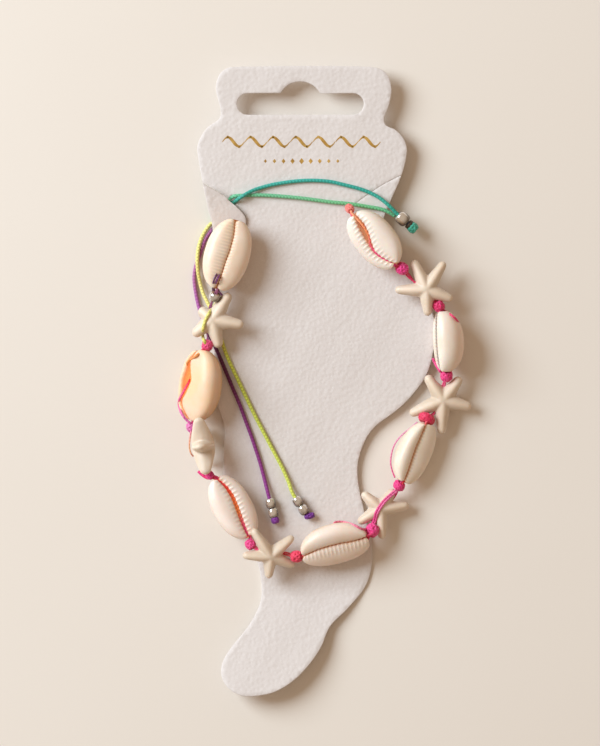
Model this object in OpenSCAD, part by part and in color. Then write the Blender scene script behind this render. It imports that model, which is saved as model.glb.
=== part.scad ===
// A cord anklet of cowries and starfish, lying on the foot shaped card that holds it.
// The card lies on its back: the top of the page is +Y, and the viewer is at +Z.

/* [Card] */
// Thickness of the card
card_t = 0.6; // [0.4:0.1:0.7]
// Height of the card's top edge over the surface, propped by the knot behind it
card_rise = 4; // [4:0.1:4.2]
// Angle at which the toe end stands up from the crease that the card rests on
toe_lift = 12; // [6:0.5:14]
// Width of the hang slot
slot_w = 32.4; // [28:0.4:34]
// Height of the hang slot at its ends
slot_h = 5.6; // [4.6:0.2:6]
// Radius of the round bump over the hang slot
bump_r = 5.8; // [5:0.1:6]
// Width of the two slits that hold the anklet
slit_w = 0.4; // [0.3:0.1:0.6]
// Diameter of the relief hole at the inner end of each slit
relief_d = 2.6; // [2.2:0.1:3]
// Angle of the flap that the slider pushes up
flap_lift = 14; // [10:1:16]

/* [Cord] */
// Diameter of the cord
cord_d = 1; // [0.8:0.1:1]
// Diameter of the knots between the shells
knot_d = 2.8; // [2.6:0.1:2.9]
// Length of these knots
knot_len = 2.6; // [2.4:0.1:2.7]
// Diameter of the sliding knot behind the card
slider_d = 2.6; // [2.4:0.1:2.6]
// Length of the sliding knot
slider_len = 5.2; // [4.6:0.2:5.4]

/* [Shells] */
// Height of a shell for each millimetre of its width
shell_height = 0.72; // [0.66:0.01:0.76]
// Thickness of the shell's back
shell_wall = 1.4; // [1.1:0.1:1.6]
// Thickness of the two toothed lips
lip_t = 1.3; // [1.1:0.1:1.5]

/* [Starfish] */
// Radius of the core's two stacked balls
star_core = 1.5; // [1.4:0.1:1.6]
// Distance of each core ball from the middle plane
star_stack = 0.9; // [0.6:0.1:1]
// Radius of an arm's tip
star_tip = 0.8; // [0.7:0.1:0.9]
// Diameter of the hole for the cord
star_bore = 1.4; // [1.2:0.1:1.6]

/* [Beads] */
// Diameter of the small round metal beads
bead_d = 2.6; // [2.4:0.1:2.6]
// Diameter of the metal bead on the joined tails
big_bead_d = 3.4; // [3.2:0.1:3.4]
// Diameter of every bead's hole
bead_bore = 1.3; // [1.2:0.1:1.5]

/* [Hidden] */
$fn = 48;
crease_y = -53.2;
head_y = 80.1;
tilt = atan(card_rise / (head_y - crease_y));
// The toe end turns about a line this far behind the crease, and reaches half as far behind it
toe_hinge = 0.2;
// Radius of one turn of a knot, and how far the turns sink into its core
wrap_r = 0.5;
wrap_sink = 0.3;
// Free air between pieces that nearly touch
air = 0.1;
tube_sides = 8;

cream = "#E9E2DC";
shell_tone = "#F5E2CC";
star_tone = "#EFE2C6";
silver = "#B9B6B2";

// The card's outline, clockwise from the header's upper left corner: [x, y]
rim = [
    [-22.4, 80.1], [11.4, 80.1], [15.4, 78.8], [17.0, 75.2], [16.6, 71.0], [15.2, 67.0],
    [15.7, 65.3], [18.2, 64.0], [20.3, 61.6], [21.0, 58.7], [19.7, 52.8], [16.5, 45.2],
    [15.0, 40.5], [16.3, 35.1], [19.3, 30.2], [23.1, 25.4], [26.2, 20.8], [28.0, 15.8],
    [28.1, 10.6], [26.4, 2.8], [23.0, -2.5], [18.8, -6.8], [13.0, -11.2], [10.4, -14.8],
    [8.6, -20.4], [8.7, -26.0], [10.4, -33.8], [12.0, -41.0], [12.1, -46.5], [10.4, -52.1],
    [5.8, -57.9], [1.6, -62.2], [-0.8, -67.6], [-3.4, -71.6], [-7.4, -75.9], [-12.0, -78.9],
    [-16.8, -80.1], [-20.8, -80.1], [-24.0, -78.4], [-25.8, -75.6], [-25.9, -72.4],
    [-24.2, -68.8], [-18.8, -61.8], [-16.2, -56.4], [-15.8, -51.3], [-17.0, -45.4],
    [-20.6, -37.6], [-22.9, -32.0], [-25.2, -26.0], [-25.6, -20.0], [-25.2, -11.4],
    [-27.2, -4.6], [-27.9, 5.6], [-27.9, 33.5], [-28.4, 40.4], [-29.4, 44.2], [-32.1, 58.7],
    [-31.6, 61.5], [-29.6, 64.6], [-26.5, 67.0], [-26.2, 69.3], [-27.4, 74.5], [-26.6, 77.9],
    [-24.8, 79.6]
];
rim_steps = 3;
slot_at = [-6.0, 70.7];
left_slit = [
    [-31.6, 51.2], [-28.8, 49.6], [-26.7, 48.4], [-24.6, 46.9], [-22.3, 44.8], [-20.6, 43.1],
    [-19.8, 41.4], [-20.4, 39.2], [-23.4, 37.2]
];
right_slit = [
    [20.4, 53.0], [17.4, 51.5], [15.1, 50.3], [12.9, 48.9], [10.6, 47.3], [8.3, 45.6],
    [6.4, 43.8]
];
// The flap bends along a line from the card's edge to the left relief hole
hinge_from = [-28.4, 36.8];
hinge_to = [-23.4, 37.2];
hinge_overlap = 0.3;
notch_at = [-22.9, 46.7];
notch_size = [3.4, 2];
notch_turn = -42;

// Cowries in the order of the string: [x, y, on card, lift, heading, roll, length, width, slit]
shells = [
    [-24.6, 32.3, 1, 0.1, 254, -8, 18.2, 11.6, 1.2],
    [-31.3, -1.0, 0, 1.2, 263, 46, 17.5, 11.2, 1.2],
    [-23.2, -31.9, 1, 0.1, 299.5, -20, 17.0, 10.2, 1.2],
    [2.7, -41.6, 1, 0.1, 13.4, 27, 16.4, 9.8, 1.2],
    [23.0, -17.9, 0, 0, 66, 30, 15.0, 9.2, 1.2],
    [31.2, 10.3, 0, 0.9, 93, -77, 14.8, 9.6, 1.2],
    [12.9, 36.2, 1, 0.1, 130, -25, 16.6, 10.7, 1.9]
];
// Starfish in the order of the string:
// [x, y, on card, lift, [turns about X, Y and Z], entry gap, exit gap, arms]
// Each arm is [direction, reach], and a gap is the one after the arm of that number.
stars = [
    [-28.2, 15.7, 1, 2.0, [0, -5, 0], 0, 2,
        [[58, 8.1], [140, 4.6], [217, 6.4], [282, 7.2], [351, 8.0]]],
    [-30.6, -16.3, 0, 4.9, [84, 0, 97], 4, 2,
        [[27, 8.3], [90, 7.4], [162, 7.6], [234, 7.6], [306, 7.6]]],
    [-13.7, -44.0, 1, 3.0, [17, 12, 0], 1, 4,
        [[41, 7.7], [125, 8.6], [180, 7.2], [270, 6.2], [337, 7.2]]],
    [14.2, -32.3, 0, 1.2, [0, 6, 0], 3, 0,
        [[7, 7.6], [63, 6.2], [137, 6.2], [212, 6.2], [275, 7.7]]],
    [30.2, -4.6, 0, 1.2, [5, 3, 0], 2, 0,
        [[52, 7.4], [124, 7.6], [203, 8.4], [268, 7.8], [346, 7.6]]],
    [26.0, 23.4, 1, 1.2, [0, 0, 0], 3, 1,
        [[57, 8.5], [114, 8.3], [180, 8.0], [273, 6.7], [340, 7.2]]]
];
// Knots after the second charm and each later one: [x, y, colour]
knots = [
    [-29.6, 9.3, "#E4487C"], [-33.7, -11.4, "#B04AC0"], [-29.0, -23.6, "#E0308C"],
    [-18.7, -41.2, "#EE2F7E"], [-7.0, -44.3, "#F0405E"], [12.2, -37.7, "#F0388C"],
    [19.1, -26.3, "#EE2F86"], [26.5, -9.3, "#F04078"], [31.1, 1.15, "#EE2F7E"],
    [29.1, 19.3, "#DE2464"], [19.8, 28.8, "#EC2E74"], [6.5, 44.0, "#F47A74"]
];
thread_colours = [
    "#8C4A78", "#F08A3C", "#D848A0", "#F0503C", "#EE5A50", "#EE2F7E", "#EE5FA0",
    "#EE5F90", "#F08060", "#D83060", "#F06A40", "#F0503C", "#F47A74"
];
// Height of the last knot over the card, above the hole that its cord goes down
last_knot_lift = 4;
// The metal bead under the first shell: its place on the cord to the starfish, and its size
spacer_way = 0.45;
spacer_size = [3, 2.2];
spacer_round = 0.6;

// The sliding knot behind the card, from its lower to its upper end
slider_from = [-27.6, 40.3];
slider_to = [-24.5, 44.6];
slider_z = 1.4;
// The cord's hidden way from the slider's lower end up into the first shell's back
under_left = [
    [-28.1, 39.5, 2.1], [-28.2, 38.0, 2.0], [-27.4, 36.4, 1.7], [-25.9, 35.6, 1.4],
    [-24.4, 35.7, 1.6], [-23.6, 36.5, 2.4], [-23.4, 37.0, 3.4], [-23.6, 37.2, 4.6],
    [-23.6, 36.9, 6.0], [-23.8, 35.8, 7.3]
];
// Where the first shell's back is drilled for it, along the shell from its middle
back_hole_x = -4.9;
back_hole_d = 1.9;
// The cord's hidden way from the last knot down through the card to the slider
under_right = [
    [6.2, 44.2, 5.2], [6.2, 44.1, 3.6], [5.6, 44.2, 2.2], [4.2, 44.7, 1.2], [1.4, 45.4, 0.8],
    [-2.4, 46.2, 0.6], [-7, 46.9, 0.6], [-12, 47.3, 0.6], [-17, 47.3, 0.6],
    [-21, 46.7, 0.7], [-23.3, 45.8, 0.8], [-24.3, 44.9, 0.8]
];

// The free tails, each from the slider to its knot: [x, y, z]
yellow_route = [
    [-28.2, 40.6, 1.0], [-29.3, 39.7, 0.9], [-30.8, 37.4, 0.8], [-31.8, 34.6, 1.2],
    [-32.2, 31.6, 1.8], [-32.1, 28.6, 1.6], [-31.6, 25.6, 1.0], [-30.8, 22.7, 1.5],
    [-29.7, 20.4, 2.5], [-28.6, 18.2, 3.35], [-27.5, 15.2, 3.3], [-26.5, 12.0, 3.2],
    [-25.4, 8.6, 3.1], [-23.9, 4.8, 2.95], [-22.1, 1.0, 2.8], [-20.3, -2.8, 2.7],
    [-18.5, -6.6, 2.6], [-16.6, -10.4, 2.5], [-14.6, -14.2, 2.4], [-12.6, -18.0, 2.25],
    [-10.6, -21.8, 2.2], [-9.0, -25.4, 2.35], [-7.8, -28.6, 2.9], [-4.6, -33.4, 2.6]
];
purple_route = [
    [-27.2, 39.8, 1.0], [-28.5, 38.6, 0.8], [-30.1, 36.4, 0.6], [-31.1, 33.8, 0.6],
    [-31.8, 31.6, 0.6], [-32.6, 29.4, 0.6], [-33.0, 26.6, 0.6], [-32.7, 23.4, 0.6],
    [-32.1, 20.2, 0.7], [-31.3, 17.2, 1.1], [-30.3, 14.4, 2.0], [-29.0, 11.6, 3.0],
    [-27.6, 8.8, 3.15], [-26.1, 5.4, 3.0], [-24.6, 1.8, 2.85], [-23.0, -2.0, 2.75],
    [-21.4, -5.8, 2.65], [-20.0, -9.6, 2.55], [-18.6, -13.4, 2.4], [-17.3, -17.2, 2.3],
    [-16.1, -21.0, 2.2], [-15.1, -24.8, 2.3], [-14.2, -28.4, 2.7], [-12.6, -34.4, 2.6]
];
teal_route = [
    [-23.7, 44.7, 1.9], [-22.8, 45.7, 3.4], [-21.9, 46.4, 4.8], [-20.5, 47.3, 5.4],
    [-18.6, 48.4, 4.9], [-16.2, 49.3, 4.4], [-13.2, 50.1, 4.3], [-9.8, 50.7, 4.3],
    [-6.2, 51.1, 4.3], [-2.4, 51.2, 4.3], [1.6, 50.9, 4.3], [5.1, 50.1, 4.3],
    [8.3, 49.3, 4.3], [11.2, 48.3, 4.3], [13.9, 46.9, 4.6], [16.2, 45.1, 5.0],
    [17.6, 43.7, 4.9], [18.6, 42.7, 4.7], [22.0, 39.7, 4.0]
];
green_route = [
    [-24.6, 45.4, 1.9], [-23.9, 46.5, 3.2], [-22.8, 47.2, 4.1], [-20.6, 47.4, 4.2],
    [-17.6, 47.5, 4.2], [-13.9, 47.4, 4.2], [-9.8, 47.1, 4.2], [-5.7, 46.7, 4.2],
    [-1.8, 46.2, 4.15], [2.0, 45.7, 4.15], [5.4, 45.4, 4.15], [8.4, 45.0, 4.1],
    [11.4, 44.5, 4.1], [14.2, 44.0, 4.15], [16.4, 43.2, 4.05], [18.1, 42.1, 3.6]
];
// Beads on the tails: distance back from the route's last point
yellow_beads = [4.1, 1.4];
purple_beads = [4.2, 1.4];
teal_bead_back = 2.8;
teal_ring_back = 0.5;
// Diameter and length of the dark ring behind the teal bead
ring_size = [2.4, 0.9];
// Size of the knots that end the tails, and how far past the route's end they sit
end_knot_d = 2.2;
end_knot_len = 2;
end_knot_on = 1.1;

// Geometry helpers
function unit(v) = v / norm(v);
function card_top(y) = card_t / cos(tilt) + (y - crease_y) * tan(tilt);
// A point turned about X, then Y, then Z, as rotate() turns a solid
function turn_x(p, a) = [p.x, p.y * cos(a) - p.z * sin(a), p.y * sin(a) + p.z * cos(a)];
function turn_y(p, a) = [p.x * cos(a) + p.z * sin(a), p.y, p.z * cos(a) - p.x * sin(a)];
function turn_z(p, a) = [p.x * cos(a) - p.y * sin(a), p.x * sin(a) + p.y * cos(a), p.z];
function turn(p, r) = turn_z(turn_y(turn_x(p, r.x), r.y), r.z);
// The turn that points a solid's own +Z along v
function aim(v) = [0, acos(unit(v).z), atan2(v.y, v.x)];

// A smooth closed line through points: each span leaves along its neighbours' chord
function span_point(a, b, ta, tb, t) =
    (2 * t ^ 3 - 3 * t ^ 2 + 1) * a + (t ^ 3 - 2 * t ^ 2 + t) * ta
    + (3 * t ^ 2 - 2 * t ^ 3) * b + (t ^ 3 - t ^ 2) * tb;
function smooth_loop(p, steps) = let (n = len(p)) [
    for (i = [0:n - 1], k = [0:steps - 1])
        let (
            a = p[i],
            b = p[(i + 1) % n],
            reach = norm(b - a),
            ta = unit(b - p[(i + n - 1) % n]) * reach,
            tb = unit(p[(i + 2) % n] - a) * reach
        )
        span_point(a, b, ta, tb, k / steps)
];

// A ribbon of even width along an open line, as one polygon
function line_side(p, i) = let (
    d = unit(p[min(i + 1, len(p) - 1)] - p[max(i - 1, 0)])
) [-d.y, d.x];
function ribbon(p, w) = concat(
    [for (i = [0:len(p) - 1]) p[i] + line_side(p, i) * w / 2],
    [for (i = [len(p) - 1:-1:0]) p[i] - line_side(p, i) * w / 2]
);

// A tube swept along a route, with one ring at each point
function tangent(p, i) = unit(p[min(i + 1, len(p) - 1)] - p[max(i - 1, 0)]);
function ring_ups(p, i, last) = i == len(p) ? [] : let (
    t = tangent(p, i),
    v = unit(last - (last * t) * t)
) concat([v], ring_ups(p, i + 1, v));
first_up = [0.1, 0.2, 1];
module tube(p, d) {
    ups = ring_ups(p, 0, first_up);
    n = tube_sides;
    points = [
        for (i = [0:len(p) - 1])
            let (side = cross(tangent(p, i), ups[i]))
            for (k = [0:n - 1])
                p[i] + (ups[i] * cos(360 * k / n) + side * sin(360 * k / n)) * d / 2
    ];
    walls = [
        for (i = [0:len(p) - 2], k = [0:n - 1])
            [i * n + k, (i + 1) * n + k, (i + 1) * n + (k + 1) % n, i * n + (k + 1) % n]
    ];
    first = [for (k = [0:n - 1]) k];
    last = [for (k = [n - 1:-1:0]) (len(p) - 1) * n + k];
    polyhedron(points, concat([first], walls, [last]), convexity = 6);
}

// Places on the string
function shell_up(w) = 0.38 * shell_height * w;
function shell_down(w) = 0.62 * shell_height * w;
// The hole at each end of a shell: its height over the shell's axis, and how far in a cord bends
canal_z = 0.9;
canal_r = 1.9;
canal_in = 0.2;
function shell_turn(s) = [s[5], 0, s[4]];
function shell_at(s) = let (
    rest = norm([s[7] / 2 * sin(s[5]), shell_down(s[7]) * cos(s[5])])
) [s[0], s[1], s[2] * card_top(s[1]) + s[3] + rest];
function in_shell(s, p) = shell_at(s) + turn(p, shell_turn(s));
function star_at(s) = [s[0], s[1], s[2] * card_top(s[1]) + s[3] + star_core + star_stack];
function gap_angle(s, k) = let (
    a = s[7][k][0],
    b = s[7][(k + 1) % 5][0]
) k == 4 ? (a + b + 360) / 2 : (a + b) / 2;
// A point in the gap between two arms, where the cord leaves the starfish
gap_r = 3.6;
function in_gap(s, k) = let (a = gap_angle(s, k))
    star_at(s) + turn([gap_r * cos(a), gap_r * sin(a), 0], s[4]);

// Charms are counted from 0 along the string: even ones are shells, odd ones starfish
function is_shell(i) = i % 2 == 0;
function way_in(i) = is_shell(i)
    ? let (s = shells[i / 2]) in_shell(s, [canal_in - s[6] / 2, 0, canal_z])
    : let (s = stars[(i - 1) / 2]) in_gap(s, s[5]);
function way_out(i) = is_shell(i)
    ? let (s = shells[i / 2]) in_shell(s, [s[6] / 2 - canal_in, 0, canal_z])
    : let (s = stars[(i - 1) / 2]) in_gap(s, s[6]);
function spacer_at() = way_out(0) + (way_in(1) - way_out(0)) * spacer_way;
function inside(i) = is_shell(i)
    ? let (s = shells[i / 2]) [
        in_shell(s, [-s[6] * 0.3, 0, 0.3]), in_shell(s, [0, 0, 0]), in_shell(s, [s[6] * 0.3, 0, 0.3])
    ]
    : [(way_in(i) + way_out(i)) / 2];
// Knot k follows charm k, and the last one is held over its hole
function knot_at(k) = let (n = knots[k - 1]) k == 12
    ? [n[0], n[1], card_top(n[1]) + last_knot_lift]
    : [n[0], n[1], (way_out(k).z + way_in(k + 1).z) / 2];
// The cord's direction into knot k and out of it, and the knot's own between the two
function dir_in(k) = unit(knot_at(k) - way_out(k));
function dir_out(k) = unit((k == 12 ? under_right[0] : way_in(k + 1)) - knot_at(k));
function knot_dir(k) = unit(dir_in(k) + dir_out(k));
// Distance from a knot's middle at which a cord in direction v ends clear of its wraps
function knot_reach(k, v) = let (c = knot_dir(k) * v)
    (knot_len / 2 - wrap_r) * c + (knot_d / 2 - wrap_r) * sqrt(1 - c ^ 2) + wrap_r + air;
function cord_before(k) = knot_at(k) - dir_in(k) * knot_reach(k, dir_in(k));
function cord_after(k) = knot_at(k) + dir_out(k) * knot_reach(k, dir_out(k));

// Sub-parts
module card_plate() {
    linear_extrude(card_t) difference() {
        polygon(smooth_loop(rim, rim_steps));
        translate(slot_at) hang_slot_shape();
        polygon(ribbon(left_slit, slit_w));
        polygon(ribbon(right_slit, slit_w));
        translate(right_slit[len(right_slit) - 1]) circle(d = relief_d);
        translate(notch_at) rotate(notch_turn) square(notch_size, center = true);
    }
}

module hang_slot_shape() {
    run = slot_w - slot_h;
    square([run, slot_h], center = true);
    for (x = [-1, 1]) translate([x * run / 2, 0]) circle(d = slot_h);
    intersection() {
        circle(r = bump_r);
        translate([-bump_r, 0]) square([2 * bump_r, bump_r]);
    }
}

// The zone of the toe end, up to the crease and, by grow, a little past it
module toe_zone(grow) {
    room = 40;
    translate([-room, crease_y + grow - room, -1]) cube([2 * room, room, card_t + 2]);
}
// Turns its children about the line along X at the given y on the card's underside
module about_line(y, angle) {
    translate([0, y, 0]) rotate([angle, 0, 0]) translate([0, -y, 0]) children();
}
// The zone of the flap, from the slit to the hinge line and, by grow, a little past it
module flap_zone(grow) {
    down = [0, -grow];
    off_card = [-8, 0];
    translate([0, 0, -1]) linear_extrude(card_t + 2) polygon(concat(
        left_slit,
        [hinge_to + down, hinge_from + down, hinge_from + down + off_card, left_slit[0] + off_card]
    ));
}

module card() {
    hinge_turn = atan2(hinge_to.y - hinge_from.y, hinge_to.x - hinge_from.x);
    color(cream) about_line(crease_y, tilt) difference() {
        union() {
            difference() {
                card_plate();
                flap_zone(0);
                toe_zone(0);
            }
            about_line(crease_y + toe_hinge, -toe_lift) intersection() {
                card_plate();
                toe_zone(toe_hinge / 2);
            }
            translate([hinge_from.x, hinge_from.y, card_t / 2])
                rotate([0, 0, hinge_turn]) rotate([flap_lift, 0, 0]) rotate([0, 0, -hinge_turn])
                translate([-hinge_from.x, -hinge_from.y, -card_t / 2])
                intersection() {
                    card_plate();
                    flap_zone(hinge_overlap);
                }
        }
        // The left relief hole goes straight down through the plate and the flap's root
        translate(concat(left_slit[len(left_slit) - 1], [-1])) cylinder(d = relief_d, h = card_t + 3);
    }
}

// A knot seen as three turns of cord round a core, its axis along +Z
module wraps(d, length, turns) {
    pitch = (length - 2 * wrap_r) / (turns - 1);
    cylinder(d = d - 2 * (wrap_r - wrap_sink / 2), h = length - wrap_r, center = true);
    for (k = [0:turns - 1])
        translate([0, 0, -length / 2 + wrap_r + k * pitch])
        rotate_extrude() translate([d / 2 - wrap_r, 0]) circle(r = wrap_r, $fn = 24);
}

module string_knot(k) {
    color(knots[k - 1][2]) translate(knot_at(k)) rotate(aim(knot_dir(k))) wraps(knot_d, knot_len, 3);
}

module slider_knot() {
    run = slider_to - slider_from;
    middle = (slider_from + slider_to) / 2;
    color("#3FB39A") translate([middle.x, middle.y, slider_z]) rotate(aim([run.x, run.y, 0]))
        wraps(slider_d, slider_len, 5);
}

// One section of a shell, open at the top: outside, lip, hollow and lip again.
// half is its half width, up and down its heights, slit its gap, wall and lip its walls.
lip_drop = 0.4;
lip_round = 0.3;
lip_bulge = 2.4;
function shell_section(half, up, down, slit, wall, lip) = let (
    edge = slit / 2 + lip_round,
    hollow = half - wall,
    roof = up - lip,
    top = [
        for (f = [0, 0.3, 0.6, 0.85])
            [edge + f * (half - edge), up * (1 - f ^ lip_bulge) ^ (1 / lip_bulge)]
    ],
    back = [for (a = [0:22.5:90]) [half * cos(a), -down * sin(a)]],
    vault = [[slit / 2 + air, roof], [hollow * 0.8, roof * 0.55], [hollow, 0],
        [hollow * 0.7, -(down - wall) * 0.7]],
    right = concat([[slit / 2, up - lip_drop]], top, back),
    left = [for (i = [len(right) - 2:-1:0]) [-right[i].x, right[i].y]],
    inner = concat(
        [for (p = vault) [-p.x, p.y]],
        [[0, -(down - wall)]],
        [for (i = [len(vault) - 1:-1:0]) vault[i]]
    )
) concat(right, left, inner);

// Heights and walls of a shell at its ends, where the cord goes in
end_up = 1.3;
end_down = 1.6;
end_wall = 0.6;
end_lip = 0.45;
stations = 12;
module cowrie_solid(s) {
    half_w = s[7] / 2;
    sections = [
        for (i = [0:stations])
            let (
                f = -cos(180 * i / stations),
                swell = (1 - abs(f) ^ 2.3) ^ 0.62,
                half = canal_r + (half_w - canal_r) * swell,
                up = end_up + (shell_up(s[7]) - end_up) * swell,
                down = end_down + (shell_down(s[7]) - end_down) * swell,
                wall = end_wall + (shell_wall - end_wall) * min(1, 2 * swell),
                lip = end_lip + (lip_t - end_lip) * min(1, 2 * swell)
            )
            [for (p = shell_section(half, up, down, s[8], wall, lip))
                [f * s[6] / 2, p.x, p.y + canal_z * (1 - swell)]]
    ];
    n = len(sections[0]);
    points = [for (ring = sections, p = ring) p];
    walls = [
        for (i = [0:stations - 1], k = [0:n - 1])
            [i * n + k, i * n + (k + 1) % n, (i + 1) * n + (k + 1) % n, (i + 1) * n + k]
    ];
    first = [for (k = [n - 1:-1:0]) k];
    last = [for (k = [0:n - 1]) stations * n + k];
    polyhedron(points, concat([first], walls, [last]), convexity = 8);
}

module cowrie(k) {
    s = shells[k - 1];
    color(shell_tone) translate(shell_at(s)) rotate(shell_turn(s)) difference() {
        cowrie_solid(s);
        if (k == 1) translate([back_hole_x, 0, -s[7]]) cylinder(d = back_hole_d, h = s[7]);
    }
}

module starfish(k) {
    s = stars[k - 1];
    run = way_out(2 * k - 1) - way_in(2 * k - 1);
    color(star_tone) difference() {
        translate(star_at(s)) rotate(s[4]) union() {
            for (arm = s[7]) hull() {
                for (z = [-1, 1]) translate([0, 0, z * star_stack]) sphere(r = star_core, $fn = 12);
                rotate([0, 0, arm[0]]) translate([arm[1] - star_tip, 0, 0])
                    sphere(r = star_tip, $fn = 12);
            }
        }
        translate(way_in(2 * k - 1)) rotate(aim(run)) cylinder(d = star_bore, h = norm(run));
    }
}

module spacer_bead() {
    color(silver) translate(spacer_at()) rotate(aim(way_in(1) - way_out(0))) difference() {
        union() {
            cylinder(d = spacer_size.x - spacer_round, h = spacer_size.y, center = true);
            rotate_extrude() translate([spacer_size.x / 2 - spacer_round, 0])
                circle(r = spacer_round);
        }
        cylinder(d = bead_bore, h = spacer_size.y + 1, center = true);
    }
}

// The cord of the loop from knot to knot, through charm k
function thread_route(k) = k == 13
    ? under_right
    : k == 1
    ? concat(under_left, [inside(0)[1], inside(0)[2], way_out(0), spacer_at(), way_in(1)],
        inside(1), [way_out(1), cord_before(1)])
    : concat([cord_after(k - 1), way_in(k)], inside(k), [way_out(k), cord_before(k)]);
module thread(k) {
    color(thread_colours[k - 1]) tube(thread_route(k), cord_d);
}

// Where a tail's beads sit: a distance back from the end, along the last span
function tail_dir(route) = let (n = len(route)) unit(route[n - 1] - route[n - 2]);
function tail_spot(route, back) = route[len(route) - 1] - tail_dir(route) * back;
module drilled_ball(d) {
    difference() {
        sphere(d = d);
        cylinder(d = bead_bore, h = d + 1, center = true);
    }
}
module tail_bead(route, back, d) {
    color(silver) translate(tail_spot(route, back)) rotate(aim(tail_dir(route))) drilled_ball(d);
}
module tail_knot(route, tone) {
    color(tone) translate(tail_spot(route, -end_knot_on)) rotate(aim(tail_dir(route)))
        wraps(end_knot_d, end_knot_len, 2);
}
module teal_ring() {
    color("#5A5450") translate(tail_spot(teal_route, teal_ring_back))
        rotate(aim(tail_dir(teal_route))) difference() {
            cylinder(d = ring_size.x, h = ring_size.y, center = true);
            cylinder(d = bead_bore, h = ring_size.y + 1, center = true);
        }
}

card();
slider_knot();
for (k = [1:7]) cowrie(k);
for (k = [1:6]) starfish(k);
for (k = [1:12]) string_knot(k);
for (k = [1:13]) thread(k);
spacer_bead();
color("#3FB39A") tube(teal_route, cord_d);  // teal_tail
color("#7CCB9C") tube(green_route, cord_d);  // green_tail
color("#E6E67A") tube(yellow_route, cord_d);  // yellow_tail
color("#8A3478") tube(purple_route, cord_d);  // purple_tail
tail_bead(teal_route, teal_bead_back, big_bead_d);  // teal_bead
teal_ring();
tail_bead(yellow_route, yellow_beads[0], bead_d);  // yellow_bead_1
tail_bead(yellow_route, yellow_beads[1], bead_d);  // yellow_bead_2
tail_bead(purple_route, purple_beads[0], bead_d);  // purple_bead_1
tail_bead(purple_route, purple_beads[1], bead_d);  // purple_bead_2
tail_knot(teal_route, "#35A58E");  // teal_end_knot
tail_knot(yellow_route, "#7A2C86");  // yellow_end_knot
tail_knot(purple_route, "#7A2C86");  // purple_end_knot
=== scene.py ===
import math
from collections import namedtuple
import bmesh
import bpy
import numpy as np
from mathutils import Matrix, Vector
from mathutils.bvhtree import BVHTree
from mathutils.geometry import delaunay_2d_cdt


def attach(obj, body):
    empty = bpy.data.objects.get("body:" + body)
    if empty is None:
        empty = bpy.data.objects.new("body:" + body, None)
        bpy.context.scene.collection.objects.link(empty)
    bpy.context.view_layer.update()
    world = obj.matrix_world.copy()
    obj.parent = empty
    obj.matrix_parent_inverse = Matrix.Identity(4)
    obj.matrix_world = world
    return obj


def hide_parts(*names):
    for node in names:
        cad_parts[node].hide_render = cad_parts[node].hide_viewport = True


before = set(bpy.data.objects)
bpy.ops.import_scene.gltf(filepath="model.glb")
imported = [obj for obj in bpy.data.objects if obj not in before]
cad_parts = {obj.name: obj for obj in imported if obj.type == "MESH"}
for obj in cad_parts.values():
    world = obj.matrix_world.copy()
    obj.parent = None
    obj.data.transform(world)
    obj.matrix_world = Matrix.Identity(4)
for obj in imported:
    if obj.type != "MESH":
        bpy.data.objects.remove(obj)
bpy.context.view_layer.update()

# All lengths below are in millimetres, in the CAD frame; MM turns them into metres
MM = 0.001
# The photograph: millimetres for each pixel, its height, its middle, and the pixel of the origin
PX, PHOTO_H = 0.254, 746
MIDDLE_U, MIDDLE_V = 300, 373
ORIGIN_U, ORIGIN_V = 324, 382
# The card: how thick it is, the line that it rests on, how its toe stands up and its body rises
CARD_T = 0.6
CREASE_Y, TOE_LIFT = -53.2, 12.0
CARD_SLOPE = 4.0 / 133.3
CARD_TILT = math.atan(CARD_SLOPE)


def at(u, v, z):
    """A point seen at pixel (u, v) of the photograph, z above the surface."""
    return (u - ORIGIN_U) * PX, (ORIGIN_V - v) * PX, z


def put_in(name, data):
    """A new object in the scene."""
    obj = bpy.data.objects.new(name, data)
    bpy.context.scene.collection.objects.link(obj)
    return obj


# Camera: it looks straight down from far away, and sees the photograph's scale at height VIEW_Z
VIEW_Z, VIEW_AWAY = 5.0, 2500.0
cam_data = bpy.data.cameras.new("camera")
cam = put_in("camera", cam_data)
cam.location = Vector(at(MIDDLE_U, MIDDLE_V, VIEW_Z + VIEW_AWAY)) * MM
cam_data.sensor_width = 36.0
cam_data.lens = cam_data.sensor_width * VIEW_AWAY / (PHOTO_H * PX)
cam_data.clip_start, cam_data.clip_end = 0.1, 20.0
bpy.context.scene.camera = cam
bpy.context.scene.view_settings.view_transform = "Standard"


# Small helpers
def card_top(y):
    """How high the card's upper face is."""
    return CARD_T / math.cos(CARD_TILT) + (y - CREASE_Y) * math.tan(CARD_TILT)


def lin(hexa):
    """A display colour such as #E9E2DC as linear red, green and blue."""
    c = np.array([int(hexa[i:i + 2], 16) for i in (1, 3, 5)]) / 255.0
    return np.where(c <= 0.04045, c / 12.92, ((c + 0.055) / 1.055) ** 2.4)


def rgba(hexa):
    return (*map(float, lin(hexa)), 1.0)


def turn(p, r):
    """Points turned about X, then Y, then Z, in degrees."""
    a, b, c = np.radians(r)
    rx = np.array([[1, 0, 0], [0, math.cos(a), -math.sin(a)], [0, math.sin(a), math.cos(a)]])
    ry = np.array([[math.cos(b), 0, math.sin(b)], [0, 1, 0], [-math.sin(b), 0, math.cos(b)]])
    rz = np.array([[math.cos(c), -math.sin(c), 0], [math.sin(c), math.cos(c), 0], [0, 0, 1]])
    return np.asarray(p, float) @ (rz @ ry @ rx).T


def unit(v):
    v = np.asarray(v, float)
    return v / np.linalg.norm(v)


def smoothstep(a, b, x):
    t = np.clip((np.asarray(x, float) - a) / (b - a), 0, 1)
    return t * t * (3 - 2 * t)


def between(f, pairs):
    """The value at place f of a line through (place, value) pairs."""
    return np.interp(f, *zip(*pairs))


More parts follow.
